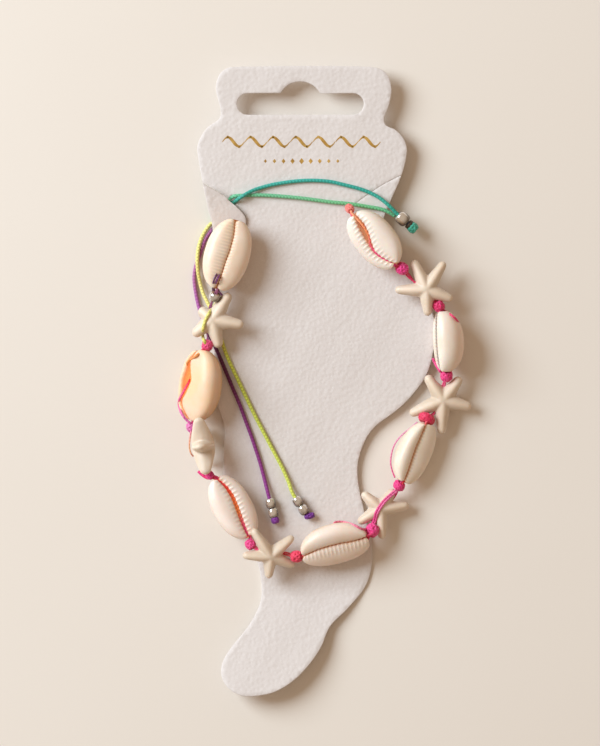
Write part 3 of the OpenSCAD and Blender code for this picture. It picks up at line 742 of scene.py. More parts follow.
def bend(d, h, turned):
    """A point at distance d past a bend and height h, on an arc that turns up by the given angle."""
    top = math.radians(turned)
    radius = 2 * BEND_HALF / top
    ang = np.clip((d + BEND_HALF) / radius, 0, top)
    past = np.maximum(d - BEND_HALF, 0)
    along = radius * np.sin(ang) - BEND_HALF + past * math.cos(top)
    rise = radius * (1 - np.cos(ang)) + past * math.sin(top)
    return along - h * np.sin(ang), rise + h * np.cos(ang)


def card_point(xy, z, in_flap=False):
    """Points of the flat card, z over its underside, where the bent and propped card holds them."""
    h = z + card_lift(xy[:, 0], xy[:, 1])
    p = np.column_stack([xy, h])
    d = (xy - HINGE_FROM) @ HINGE_AWAY
    on_flap = (in_flap & (d > -BEND_HALF))[:, None]
    far, high = bend(d, h, FLAP_LIFT)
    far = far + np.maximum(d - BEND_HALF, 0) * (1 - math.cos(math.radians(FLAP_LIFT)))
    p = np.where(on_flap, np.column_stack([xy + (far - d)[:, None] * HINGE_AWAY, high]), p)
    past = CREASE_Y - p[:, 1]
    far, high = bend(past, p[:, 2], TOE_LIFT)
    on_toe = (past > -BEND_HALF)[:, None]
    p = np.where(on_toe, np.column_stack([p[:, 0], CREASE_Y - far, high]), p)
    return turn(p - (0, CREASE_Y, 0), (math.degrees(CARD_TILT), 0, 0)) + (0, CREASE_Y, 0)


def card_material():
    look = Look("pebbled_card")
    grain = look.nodes.new("ShaderNodeTexVoronoi")
    grain.feature = "SMOOTH_F1"
    grain.inputs["Scale"].default_value = 1050.0
    grain.inputs["Smoothness"].default_value = 0.7
    look.links.new(look.coord, grain.inputs["Vector"])
    wide, slow, fine = look.noise(520.0, 4.0, 0.6), look.noise(45.0, 3.0), look.noise(4200.0, 2.0)
    tone = look.mix(slow, rgba("#DED6D4"), rgba("#E4DDDB"))
    tone = look.times(tone, look.ramp(fine, [(0.35, 0.965), (0.65, 1.02)]))
    look.shader({"Base Color": tone, "Roughness": look.ramp(wide, [(0.3, 0.50), (0.7, 0.66)]),
                 "Specular IOR Level": 0.35})
    look.bump(wide, 0.34, 0.00017)
    look.bump(grain.outputs["Distance"], 0.50, 0.00016)
    return look.mat


def card_holes():
    """Outlines of the hang slot, the slits with their relief holes, and the notch."""
    a = math.radians(NOTCH_TURN)
    corners = np.array([(-NOTCH_HALF, NOTCH_LOW), (NOTCH_HALF, NOTCH_LOW),
                        (NOTCH_HALF, NOTCH_HIGH), (-NOTCH_HALF, NOTCH_HIGH)])
    turned = corners @ np.array([[math.cos(a), math.sin(a)], [-math.sin(a), math.cos(a)]])
    return [slot_outline(), ribbon(dense(LEFT_SLIT, 0.6), SLIT_W), ribbon(dense(RIGHT_SLIT, 0.6), SLIT_W),
            circle(*LEFT_SLIT[-1], RELIEF_D / 2), circle(*RIGHT_SLIT[-1], RELIEF_D / 2), NOTCH_AT + turned]


def flat_sheet(outline, holes):
    """The flat card as triangles that wind to the left: its points, the triangles and their middles."""
    rows, columns = np.arange(-80, 80.5, 0.9), np.arange(-32.5, 28.5, 1.05)
    grid = np.array([(x + 0.5 * (j % 2), y) for j, y in enumerate(rows) for x in columns])
    grid = grid[inside_poly(grid, outline) & ~near_line(grid, outline, 0.4)]
    for hole in holes:
        grid = grid[~inside_poly(grid, hole) & ~near_line(grid, hole, 0.3)]
    verts, edges = [], []
    for loop in [outline] + holes:
        base, n = len(verts), len(loop)
        verts += [Vector(p) for p in loop]
        edges += [(base + i, base + (i + 1) % n) for i in range(n)]
    verts += [Vector(p) for p in grid]
    out_v, _, out_f, _, _, _ = delaunay_2d_cdt(verts, edges, [], 0, 1e-4)
    flat = np.array([tuple(v) for v in out_v])
    tris = np.array([f for f in out_f if len(f) == 3])
    mid = flat[tris].mean(axis=1)
    keep = inside_poly(mid, outline)
    for hole in holes:
        keep &= ~inside_poly(mid, hole)
    tris, mid = tris[keep], mid[keep]
    used, tris = np.unique(tris, return_inverse=True)
    flat, tris = flat[used], tris.reshape(-1, 3)
    one, two = flat[tris[:, 1]] - flat[tris[:, 0]], flat[tris[:, 2]] - flat[tris[:, 0]]
    right = one[:, 0] * two[:, 1] - one[:, 1] * two[:, 0] <= 0
    tris[right] = tris[right][:, ::-1]
    return flat, tris, mid


def build_card():
    """The card's sheet: two faces and a rounded rim, bent at the flap and at the toe."""
    flat, tris, mid = flat_sheet(smooth_loop(RIM, 8), card_holes())
    n = len(flat)
    in_flap = np.zeros(n, bool)
    in_flap[tris[inside_poly(mid, FLAP_ZONE)].ravel()] = True
    edges = dict.fromkeys((int(t[i]), int(t[(i + 1) % 3])) for t in tris for i in range(3))
    border = [(i, j) for i, j in edges if (j, i) not in edges]
    push = np.zeros((n, 2))
    for i, j in border:
        dx, dy = unit(flat[j] - flat[i])
        push[i] += (dy, -dx)
        push[j] += (dy, -dx)
    size = np.linalg.norm(push, axis=1)
    push[size > 1e-6] /= size[size > 1e-6][:, None]
    # The rim's section from the upper face to the lower one: how far out, and how high
    section = [(0.0, CARD_T), (0.07, CARD_T - 0.05), (0.11, CARD_T / 2), (0.07, 0.05), (0.0, 0.0)]
    verts = np.vstack([card_point(flat + push * (out - 0.03), z, in_flap) for out, z in section])
    faces = [tuple(t) for t in tris] + [tuple(t[::-1] + 4 * n) for t in tris]
    faces += [(k * n + i, (k + 1) * n + i, (k + 1) * n + j, k * n + j) for i, j in border for k in range(4)]
    used = np.unique([i for face in faces for i in face])
    place = dict(zip(used, range(len(used))))
    faces = [tuple(place[i] for i in face) for face in faces]
    return piece("card_stock_sheet", verts[used], faces, card_material(), "card_stock", ["card"])


build_card()


# Foil ornament
def foil_material():
    look = Look("gold_foil")
    patch, wide = look.noise(700.0, 4.0), look.noise(90.0, 2.0)
    tone = look.mix(look.ramp(patch, [(0.3, 0.0), (0.7, 1.0)]), rgba("#B98B42"), rgba("#E0B765"))
    tone = look.times(tone, look.ramp(wide, [(0.35, 0.82), (0.65, 1.08)]))
    look.shader({"Base Color": tone, "Metallic": 0.35,
                 "Roughness": look.ramp(patch, [(0.3, 0.30), (0.7, 0.45)])})
    look.bump(patch, 0.4, 0.00005)
    return look.mat


def foil_faces(polys):
    """Flat closed outlines raised a little over the card, as one mesh."""
    verts, faces = [], []
    for poly in polys:
        n, base = len(poly), len(verts)
        verts += [*card_point(poly, CARD_T - 0.02), *card_point(poly, CARD_T + 0.03)]
        for i in range(n):
            faces.append((base + i, base + (i + 1) % n, base + n + (i + 1) % n, base + n + i))
        for i in range(n // 2 - 1):
            faces.append((base + n + i, base + n + i + 1, base + 2 * n - 2 - i, base + 2 * n - 1 - i))
            faces.append((base + i, base + n - 1 - i, base + n - 2 - i, base + i + 1))
    return verts, faces


def ornament():
    """A row of waves with a dot over and under each, and a row of diamonds below."""
    polys = []
    x0, x1, mid_y, low_y = -25.9, 14.4, 61.1, 56.2
    span = (x1 - x0) / 7
    t = np.linspace(0, 1, 40)
    for k in range(7):
        cx = x0 + span * (k + 0.5)
        wave = np.stack([cx + (t - 0.5) * span * 0.98, mid_y + 1.15 * np.sin(t * 2 * math.pi)], axis=1)
        polys.append(ribbon(wave, 0.18 + 0.62 * np.sin(t * math.pi) ** 1.5))
        polys += [circle(cx + side * span * 0.25, mid_y - side * 1.25, 0.34, 16) for side in (-1, 1)]
    for k in range(-4, 5):
        cx, r = -5.7 + k * 2.3, 0.62 - 0.06 * abs(k)
        tall = 1.25 * r
        polys.append(np.array([(cx - r, low_y), (cx, low_y - tall), (cx + r, low_y), (cx, low_y + tall)]))
    return piece("card_foil", *foil_faces(polys), foil_material(), "card_stock", smooth=False)


ornament()


# Cowries
def shell_material(name, body, blush, back, deep, painted_glow):
    look = Look(name)
    opening = look.mark("ap")
    wide, fine = look.noise(160.0, 3.0), look.noise(1500.0, 3.0)
    tone = look.mix(look.ramp(wide, [(0.35, 0.0), (0.7, 1.0)]), rgba(body), rgba(blush))
    tone = look.mix(look.mark("dors"), tone, rgba(back))
    tone = look.times(tone, look.ramp(look.mark("rib"), [(0.0, 0.86), (0.5, 0.97), (1.0, 1.04)]))
    # The deep tone is the opening's own colour in the throat, and painted shade in the band along each
    # lip's edge
    tone = look.mix(look.ramp(opening, [(0.0, 0.0), (0.35, 0.25), (1.0, 1.0)]), tone, rgba(deep))
    # Painted glow: the opening's inside glows in its deep tone, in place of daylight coming through the
    # thin wall
    look.shader({"Base Color": tone, "Emission Color": rgba(deep),
                 "Emission Strength": look.ramp(opening, [(0.3, 0.0), (1.0, painted_glow)]),
                 "Roughness": look.ramp(fine, [(0.3, 0.40), (0.7, 0.50)]),
                 "Subsurface Weight": 0.25, "Subsurface Radius": (1.0, 0.55, 0.35),
                 "Subsurface Scale": 0.0012, "Coat Weight": 0.10, "Coat Roughness": 0.26})
    look.bump(fine, 0.10, 0.00003)
    return look.mat


# A shell's end sections: half their width, and their height over and under the middle line
END_R, END_UP, END_DOWN = 1.35, 1.0, 1.2
# The powers that make a lobe's upper and lower quarter fuller than an ellipse, and the throat's depth
UPPER_FULL, LOWER_FULL, THROAT = 0.86, 0.95, 1.4
# Angles round one lobe: down the throat, over the lip, down the outside, and under the shell
THROAT_A, LIP_A, OUTER_A = np.linspace(208, 180, 8), np.linspace(175.5, 97, 16), np.linspace(91, 0, 21)
UPPER_A = np.radians(np.concatenate([THROAT_A, LIP_A, OUTER_A]))
LOWER_A = np.radians(np.linspace(-7.5, -90, 12))
IN_THROAT = np.arange(len(UPPER_A)) < len(THROAT_A) - 1
ON_LIP = ~IN_THROAT & (UPPER_A > math.pi / 2)
THROAT_WAY = np.clip((np.degrees(UPPER_A) - 180) / 28, 0, 1)
NOT_UPPER = np.zeros(len(LOWER_A))


def shell_swell(f):
    """How full the shell is at a place along it, from 0 at its ends to 1 in the middle."""
    return (1 - np.abs(f) ** 2.3) ** 0.62


def shell_top(k, f):
    """Height of shell k's crest over its middle line, at place f along it."""
    full = shell_up(SHELLS[k - 1].width) * SHELL_LOOKS[k - 1].get("tall", 1.0)
    return END_UP + (full - END_UP) * shell_swell(f)


def lobe(sign, f, swell, up, down, slit, gap, look):
    """One half of a shell's section, from the bottom of its throat to under the shell: across
    and up, the marks for colour, the slit's edge and the half's reach. sign is 1 or -1."""
    side = 0 if sign > 0 else 1
    fall = min(look["dip"], 0.55 * up) * (0.4 + 0.6 * swell)
    hole = THROAT * (0.5 + 0.5 * swell)
    reach = END_R + (look.get("wide", (1.0, 1.0))[side] * look["width"] / 2 - END_R) * swell
    edge = min(sign * slit + gap, reach - 0.5)
    crest = edge + look["crest"][side] * (reach - edge)
    ca, curve = np.cos(UPPER_A), np.abs(np.sin(UPPER_A)) ** UPPER_FULL
    throat_y = edge + 0.12 * (crest - edge) * THROAT_WAY ** 2
    lip_y = crest + (crest - edge) * ca
    outer_y = crest + (reach - crest) * np.abs(ca) ** UPPER_FULL
    y = np.where(IN_THROAT, throat_y, np.where(ON_LIP, lip_y, outer_y))
    z = np.where(IN_THROAT, up - fall - hole * THROAT_WAY,
                 np.where(ON_LIP, up - fall * (1 - curve), up * curve))
    under_z = down * np.sin(LOWER_A)
    under_y = reach * np.abs(np.cos(LOWER_A)) ** LOWER_FULL
    under_y = under_y - look["groove"] * np.exp(-((under_z + 0.16 * down) / (0.10 * down)) ** 2) * swell
    yy, zz = np.concatenate([y, under_y]), np.concatenate([z, under_z])
    # The teeth push the surface out along its normal, most at the slit's edge
    ty, tz = np.gradient(yy), np.gradient(zz)
    size = np.hypot(ty, tz) + 1e-9
    ny, nz = tz / size, -ty / size
    outward = np.sign((ny * (yy - edge) + nz * (zz + 0.2 * down)).sum())
    from_edge = np.concatenate([np.abs(y - edge), NOT_UPPER + 99.0])
    rib_reach = look["rib_len"][side] * (0.35 + 0.65 * swell)
    mask = np.where(np.concatenate([IN_THROAT, NOT_UPPER > 0]), 1.0,
                    1 - smoothstep(0.35 * rib_reach, rib_reach, from_edge)) * min(1.0, 2.2 * swell)
    bow = look["teeth"] * math.pi * f + (0.9 if sign < 0 else 0.0) + 0.10 * np.minimum(from_edge, 4) * f
    wave = np.exp(1.6 * (np.cos(bow) - 1))
    push = look["depth"][side] * mask * (wave - 0.45) * outward
    # The deep tone marks the throat, which is its own colour inside, and a band on each lip along the
    # slit's edge, which is painted shade for the narrow slit
    dark = np.maximum(0.55 * np.exp(-(np.abs(y - edge) / 0.34) ** 2),
                      np.where(IN_THROAT, 0.6 + 0.4 * THROAT_WAY, 0))
    return (yy + ny * push, zz + nz * push, np.concatenate([dark, NOT_UPPER]),
            0.5 + mask * (wave - 0.5), edge, reach)


def inner_lobe(yy, zz, edge, reach, up, lip, down, wall, fill):
    """The same half on the inside of the shell's wall, which is thicker at the lip."""
    along = np.arange(len(zz))
    narrow = max(0.1, 1 - wall / max(reach - edge, wall * 1.3))
    shallow = max(0.1, (down - wall - fill) / down)
    y = edge + 0.28 * min(1.0, wall) * np.exp(-(along / 10.0) ** 2) + (yy - edge) * narrow
    z = np.where(zz > 0, zz * max(0.1, (up - lip) / up), zz * shallow)
    return y, z - 0.35 * lip * np.exp(-(along / 4.0) ** 2)


def cowrie_mesh(k, look, stations=130):
    """A cowrie with its toothed opening up: vertices, faces and marks. The lips fall by dip
    from their crests to the opening, and the throat goes on down from there."""
    s = SHELLS[k - 1]
    look = {**look, "width": s.width}
    length = s.length + look.get("longer", 0.0)
    f = -np.cos(np.pi * np.arange(stations + 1) / stations)
    f = 0.7 * f + 0.3 * np.sign(f) * np.abs(f) ** 1.5
    f[0], f[-1] = -1, 1
    swell = shell_swell(f)
    slit, gap = between(f, look["slit"]), between(f, look["gap"])
    for _ in range(6):
        for line in (slit, gap):
            line[1:-1] = (line[:-2] + 2 * line[1:-1] + line[2:]) / 4
    up = shell_top(k, f)
    down = END_DOWN + (shell_down(s.width) - END_DOWN) * swell
    wall = 0.45 + 0.85 * np.minimum(1, 2 * swell)
    lip = 0.40 + 0.75 * np.minimum(1, 2 * swell)
    rows, marks = [], []
    for i in range(stations + 1):
        outer, inner = [], []
        for sign in (1, -1):
            section = lobe(sign, f[i], swell[i], up[i], down[i], slit[i], gap[i], look)
            yy, zz, dark, rib, edge, reach = section
            back = smoothstep(0.10, -0.65, zz / down[i])
            y_in, z_in = inner_lobe(yy, zz, edge, reach, up[i], lip[i], down[i], wall[i],
                                    look.get("filled", 0.0) * swell[i])
            outer.append(np.stack([sign * yy, zz, dark, rib, back])[:, ::sign])
            inner.append(np.stack([sign * y_in, z_in])[:, ::sign])
        outer, inner = np.hstack(outer), np.hstack(inner)[:, ::-1]
        y, z = np.hstack([outer[:2], inner])
        # The slit ends in a small notch at each end of the shell
        near_slit = np.exp(-((y - slit[i]) / (0.45 + gap[i])) ** 2) * smoothstep(-0.6, 0.5, z)
        pull = 0.5 * abs(f[i]) ** 8 * near_slit
        x = f[i] * length / 2 - np.sign(f[i]) * pull
        rows.append(np.stack([x, y, z + CANAL_Z * (1 - swell[i])], axis=1))
        plain = np.ones(inner.shape[1])
        marks.append(np.hstack([outer[2:], [plain, 0.5 * plain, 0 * plain]]))
    n = len(rows[0])
    faces = ring_quads(stations + 1, n)
    for i in (0, stations):
        base, end = i * n, i * n + n - 1
        faces += [(base + j, base + j + 1, end - 1 - j, end - j) for j in range(n // 2 - 1)]
    return in_shell(s, np.vstack(rows)), faces, dict(zip(("ap", "rib", "dors"), np.hstack(marks)))


# For each shell the slit's offsets and half gaps along it, from -1 to 1, its teeth, how far and how
# high the ribs go on one lobe and on the other, where the lobes' crests are, and its colours
SHELL_LOOKS = [
    dict(slit=[(-0.92, -0.5), (-0.58, 0.0), (-0.13, 0.1), (0.21, -0.2), (0.54, -0.25), (0.71, -0.35),
               (1, -0.5)],
         gap=[(-1, 0.12), (-0.8, 0.05), (0.6, 0.05), (0.85, 0.1), (1, 0.2)],
         teeth=22, rib_len=(1.3, 4.0), depth=(0.16, 0.06), crest=(0.30, 0.42), groove=0.35, dip=0.9,
         painted_glow=0.22, tones=("#F4DAC0", "#F8E6D6", "#DCAE7C", "#CC9058")),
    dict(slit=[(-1, -1.0), (-0.66, -2.75), (-0.13, -2.5), (0.28, -3.2), (0.43, -3.9), (0.6, -3.6),
               (1, -1.0)],
         gap=[(-1, 0.12), (-0.66, 0.15), (-0.45, 0.6), (-0.13, 1.45), (0.1, 1.0), (0.28, 0.5), (0.43, 0.15),
              (0.6, 0.1), (1, 0.12)],
         teeth=12, rib_len=(0.5, 0.6), depth=(0.03, 0.03), crest=(0.36, 0.4), groove=0.25, longer=0.6,
         dip=0.8, filled=1.8, painted_glow=0.36, tones=("#ECCFB4", "#F2CBA0", "#E0B080", "#FFBC80")),
    dict(slit=[(-1, -0.3), (-0.6, 0.55), (-0.31, 0.71), (0, 0.35), (0.29, -0.07), (0.6, -0.5), (1, -0.7)],
         gap=[(-1, 0.2), (-0.5, 0.25), (0.3, 0.32), (0.7, 0.28), (1, 0.25)],
         teeth=15, rib_len=(2.0, 2.4), depth=(0.17, 0.07), crest=(0.36, 0.40), groove=0.08, dip=1.1,
         painted_glow=0.25, tones=("#F3DFD2", "#F8EBE2", "#EAD3BC", "#EE9C68")),
    dict(slit=[(-1, 0.1), (-0.46, 1.14), (-0.14, 1.31), (0.18, 1.35), (0.49, 1.10), (0.81, 1.13), (1, 1.3)],
         gap=[(-1, 0.10), (-0.4, 0.06), (0.6, 0.06), (1, 0.15)],
         teeth=17, rib_len=(0.7, 3.2), depth=(0.05, 0.12), crest=(0.42, 0.34), groove=0.08, longer=1.0,
         wide=(1.2, 1.0), dip=1.0, painted_glow=0.20, tones=("#F0DAC8", "#F6E6DA", "#E6C79E", "#C88450")),
    dict(slit=[(-1, 0.4), (-0.69, 0.54), (-0.48, 0.72), (-0.13, 1.11), (0.19, 1.37), (0.6, 1.35), (1, 1.4)],
         gap=[(-1, 0.10), (0, 0.06), (0.6, 0.06), (1, 0.15)],
         teeth=19, rib_len=(0.9, 1.2), depth=(0.05, 0.08), crest=(0.40, 0.40), groove=0.10, longer=1.0,
         dip=1.1, painted_glow=0.20, tones=("#F0DFCC", "#F7EBDE", "#E8D2B6", "#D09460")),
    dict(slit=[(-1, -0.2), (-0.5, -0.4), (0.2, -0.4), (1, -0.2)],
         gap=[(-1, 0.15), (-0.7, 0.7), (0.7, 0.7), (1, 0.15)],
         teeth=17, rib_len=(0.9, 0.8), depth=(0.14, 0.12), crest=(0.34, 0.34), groove=0.0, longer=0.6,
         tall=1.15, dip=0.45, painted_glow=0.0, tones=("#F3E0D0", "#F8ECE0", "#F1D8C6", "#5C3420")),
    dict(slit=[(-1, -0.67), (-0.82, 0.08), (-0.54, 0.97), (-0.28, 1.4), (0, 0.8), (0.26, 0.1), (0.58, -0.5),
               (0.95, -0.8), (1, -0.8)],
         gap=[(-1, 0.2), (-0.82, 0.1), (-0.54, 0.1), (-0.28, 0.15), (0, 0.5), (0.26, 0.85), (0.58, 0.95),
              (0.95, 0.4), (1, 0.3)],
         teeth=15, rib_len=(2.1, 2.9), depth=(0.15, 0.15), crest=(0.34, 0.34), groove=0.25, dip=1.0,
         filled=1.6, painted_glow=0.28, tones=("#F5E6DA", "#F9F0E6", "#EBCFAA", "#DDB48C")),
]


def build_cowrie(k):
    look = SHELL_LOOKS[k - 1]
    v, f, marks = cowrie_mesh(k, look)
    mat = shell_material(f"cowrie_shell_{k}", *look["tones"], look["painted_glow"])
    return piece(f"cowrie_{k}_shell", v, f, mat, "cowrie_shell", [f"cowrie_{k}"], marks)


cowries = [build_cowrie(k) for k in range(1, 8)]


# Starfish
def star_material():
    look = Look("starfish_stone")
    wide, fine = look.noise(190.0, 4.0), look.noise(2400.0, 4.0, 0.6)
    tone = look.mix(look.ramp(wide, [(0.35, 0.0), (0.65, 1.0)]), rgba("#E2CEB8"), rgba("#EAD8C6"))
    tone = look.times(tone, look.ramp(look.mark("ridge"), [(0.0, 0.88), (0.5, 0.97), (1.0, 1.05)]))
    look.shader({"Base Color": tone, "Roughness": look.ramp(fine, [(0.3, 0.40), (0.7, 0.55)]),
                 "Subsurface Weight": 0.2, "Subsurface Radius": (1.0, 0.7, 0.5),
                 "Subsurface Scale": 0.0009})
    look.bump(fine, 0.18, 0.00003)
    return look.mat


STAR_MAT = star_material()
STAR_THICK = [2.5, 3.0, 2.45, 2.4, 2.45, 2.45]
STAR_BROAD = [1.4, 1.0, 1.14, 1.2, 1.32, 1.22]
# Arms that the photograph shows a little apart from the plain model's
STAR_DRAWN = {
    4: ((7, 7.6), (54, 6.3), (137, 6.2), (212, 6.6), (275, 7.7)),
    5: ((52, 7.4), (124, 7.6), (203, 9.2), (268, 8.7), (346, 7.6)),
}


def arm_lobe(reach, thick, broad, m=30, n=26):
    """One arm along +X: a ridged lobe from behind the middle to a round tip."""
    back, back_round, tip_round = -1.1, 1.3, 0.9
    x = back + (reach - back) * (0.5 - 0.5 * np.cos(np.linspace(0, math.pi, n + 1)))
    r = np.clip(x / reach, 0, 1)
    w = broad * (1.25 + 0.18 * np.sin(math.pi * np.minimum(1.6 * r, 1)) - 0.52 * r ** 3)
    h = thick * (1 - 0.20 * r - 0.45 * r ** 2)
    tip = np.sqrt(np.clip(1 - np.clip((x - (reach - tip_round)) / tip_round, 0, 1) ** 2, 0, 1))
    root = np.sqrt(np.clip(1 - np.clip((back + back_round - x) / back_round, 0, 1) ** 2, 0, 1))
    k = np.maximum(tip * root, 0.02)
    a = np.linspace(0, 2 * math.pi, m, endpoint=False)
    y = (w * k)[:, None] * np.sign(np.cos(a)) * np.abs(np.cos(a)) ** 1.05
    z = (h * k)[:, None] * np.sign(np.sin(a)) * np.abs(np.sin(a)) ** 1.25
    v = np.stack([np.repeat(x[:, None], m, axis=1), y, z], axis=2).reshape(-1, 3)
    return v, ring_quads(n + 1, m) + [tuple(range(m - 1, -1, -1)), tuple(n * m + j for j in range(m))]


def fuse(parts):
    """Meshes that overlap, fused into one soft skin: vertices and faces."""
    mesh = new_mesh("star_raw", np.vstack([part[0] for part in parts]), join_faces(parts))
    raw = put_in("star_raw", mesh)
    skin = raw.modifiers.new("fuse", "REMESH")
    skin.mode, skin.voxel_size, skin.adaptivity = "VOXEL", 0.19, 0.0
    soft = raw.modifiers.new("soften", "SMOOTH")
    soft.factor, soft.iterations = 0.5, 12
    done = raw.evaluated_get(bpy.context.evaluated_depsgraph_get()).to_mesh()
    verts = np.array([tuple(v.co) for v in done.vertices])
    faces = [tuple(p.vertices) for p in done.polygons]
    raw.to_mesh_clear()
    bpy.data.objects.remove(raw)
    bpy.data.meshes.remove(mesh)
    return verts, faces


def build_star(k):
    """Starfish k: five arms and a round middle, fused. A ridge along each arm is marked for its colour."""
    s, thick, broad = STARS[k - 1], STAR_THICK[k - 1], STAR_BROAD[k - 1]
    arms, parts = STAR_DRAWN.get(k, s.arms), []
    for a, reach in arms:
        v, f = arm_lobe(reach, thick, broad)
        parts.append((turn(v, (0, 0, a)), f))
    parts.append(ball(np.zeros(3), np.eye(3), 2.6, 0.86 * thick, 24, 14))
    local, faces = fuse(parts)
    ridge = np.zeros(len(local))
    for a, _ in arms:
        q = turn(local, (0, 0, -a))
        ridge = np.maximum(ridge, smoothstep(-0.2, 1.2, q[:, 0]) * np.exp(-(q[:, 1] / 0.75) ** 2))
    ridge *= smoothstep(0.2, 1.4, np.abs(local[:, 2]))
    world = star_at(s) + turn(local, s.turned)
    return piece(f"starfish_{k}_bead", world, faces, STAR_MAT, "starfish_stone", [f"starfish_{k}"],
                 {"ridge": ridge})


starfish = [build_star(k) for k in range(1, 7)]

# Knots and the loop's cord
# Each knot's two tones, its width and length, and its colour's slot
KNOT_TONES = [
    ("#E4487C", "#F06090"), ("#DC64B4", "#F090C4"), ("#E0308C", "#F04898"), ("#EE3F8E", "#F8609C"),
    ("#F0405E", "#F85078"), ("#F0388C", "#FA58A0"), ("#EE2F86", "#F85098"), ("#E02C58", "#F0406C"),
    ("#EE2F7E", "#FA549A"), ("#DE2464", "#F04888"), ("#EC2E84", "#FA5CA8"), ("#F47A74", "#F89088"),
]
KNOT_SIZES = [(3.0, 3.0), (2.7, 2.8), (2.2, 2.4), (2.8, 2.8), (3.2, 3.1), (3.6, 3.5), (3.2, 2.5),
              (4.5, 2.6), (3.3, 3.2), (3.1, 3.1), (3.3, 3.2), (2.3, 3.2)]
# Where the photograph shows a knot a little off the place between its neighbours
KNOT_SHIFTS = {8: (-0.45, 0, 0), 9: (0, 0.5, 0)}
KNOT_SLOTS = "coral lilac pink pink coral pink pink pink pink red pink coral".split()
for k in range(1, 13):
    knot_piece(f"knot_{k}", knot_at(k) + KNOT_SHIFTS.get(k, (0, 0, 0)), dir_in(k) + dir_out(k),
               *KNOT_SIZES[k - 1], KNOT_TONES[k - 1], "cord_" + KNOT_SLOTS[k - 1], hash01(k))

# The tones along each stretch of the loop, and its colour's slot
THREAD_TONES = [
    ["#6E3A6A", "#A05870", "#8C4A78"], ["#E8487C", "#F08A3C", "#F4A060", "#E070A8"], ["#D850B0", "#E86A90"],
    ["#E83C84", "#EE4060", "#F07838", "#F0905A", "#F07088", "#E84C80"], ["#EE4A80", "#EE5A60"],
    ["#F0506A", "#E84850", "#E03C44", "#EE3880"], ["#F05A9E", "#F23C8C"],
    ["#F04C94", "#E88060", "#F09060", "#E04048"], ["#E84870", "#EE5F90"],
    ["#EE4A8C", "#F07080", "#E84078"], ["#D83060", "#E84070"], ["#F04878", "#F06048", "#EC3C7C"],
    [(0, "#EE3C84"), (0.1, "#F04868"), (0.4, "#F4804C"), (0.75, "#C8705A"), (0.86, "#4A9C88"),
     (1, "#3F9A88")],
]
THREAD_SLOTS = "plum orange lilac red coral pink pink pink coral red red red coral".split()
# How far a thread's end lies inside its knot, off the knot's middle
THREAD_END = 0.6


def thread_route(k):
    """The points of the loop's stretch k, which ends in knot k, or behind the card for the last."""
    if k == 13:
        return [knot_at(12) + dir_out(12) * THREAD_END, *UNDER_RIGHT]
    last = [way_out(k), knot_at(k) - dir_in(k) * THREAD_END]
    if k == 1:
        return [*UNDER_LEFT, *inside(0)[1:], way_out(0), SPACER_AT, way_in(1), *inside(1), *last]
    return [knot_at(k - 1) + dir_out(k - 1) * THREAD_END, way_in(k), *inside(k), *last]


def side_by_side(points, colours, start):
    """Two thinner strands along one route, wound about each other."""
    p, s = smooth_path(points, 0.8)
    ups, across = frames_along(p)
    a = (2 * math.pi * s / 9.0 + start)[:, None]
    off = (np.cos(a) * across + np.sin(a) * ups) * 0.27
    return [(p + off, 0.26, colours, 0.7), (p - off, 0.26, colours, 0.7)]


for k in range(1, 14):
    cord_piece(f"thread_{k}_strands", side_by_side(thread_route(k), THREAD_TONES[k - 1], 0.6 + k),
               "cord_" + THREAD_SLOTS[k - 1], [f"thread_{k}"])

# The sliding knot behind the card: its ends, its height, its width and its turns
SLIDE_FROM, SLIDE_TO = np.array([-27.6, 40.3, 1.4]), np.array([-24.5, 44.6, 1.4])
SLIDE_D, SLIDE_TURNS, SLIDE_CORD = 2.6, 5.6, 0.45


def slider_knot():
    """The cord's wraps round the loop's two ends, and the ends as one core."""
    run, mid = SLIDE_TO - SLIDE_FROM, (SLIDE_TO + SLIDE_FROM) / 2
    t = np.linspace(0, 1, 200)
    a, r = t * SLIDE_TURNS * 2 * math.pi, SLIDE_D / 2 - SLIDE_CORD
    height = (t - 0.5) * (np.linalg.norm(run) - 2 * SLIDE_CORD)
    coil = np.stack([r * np.cos(a), r * np.sin(a), height], axis=1) @ basis(run) + mid
    core = [mid - unit(run) * 2.2, mid, mid + unit(run) * 2.2]
    lines = [(coil, SLIDE_CORD, ["#3FB39A", "#55C2A8"], 1.2), (core, 0.75, ["#3A9A88", "#3FA894"], 1.4)]
    return cord_piece("slider_knot_wraps", lines, "cord_teal", ["slider_knot"])


slider_knot()
bead_piece("spacer_bead", SPACER_AT, way_in(1) - way_out(0), barrel(3.0, 2.2, 0.62, 0.7), spin=0.8)


# Strands that show on the shells
def over(points, trees, r, sink):
    """Points (u, v, z) in place. A z of None lays the point on the highest target under it,
    and one below 0 lays it that much lower."""
    out = []
    for u, v, z in points:
        x, y, _ = at(u, v, 0)
        if z is None or z < 0:
            hits = [tree.ray_cast(Vector((x, y, 40.0)) * MM, Vector((0, 0, -1)))[0] for tree in trees]
            top = max([hit.z / MM for hit in hits if hit is not None], default=4.0)
            z = top + r - sink + (z or 0)
        out.append((x, y, z))
    return out


def strand(name, points, r, colours, slot, targets=(), pitch=0.9, sink=0.1):
    """A strand through points that the photograph shows, laid over the target pieces."""
    trees = [BVHTree.FromObject(obj, bpy.context.evaluated_depsgraph_get()) for obj in targets]
    return cord_piece(name, [(over(points, trees, r, sink), r, colours, pitch)], "cord_" + slot)


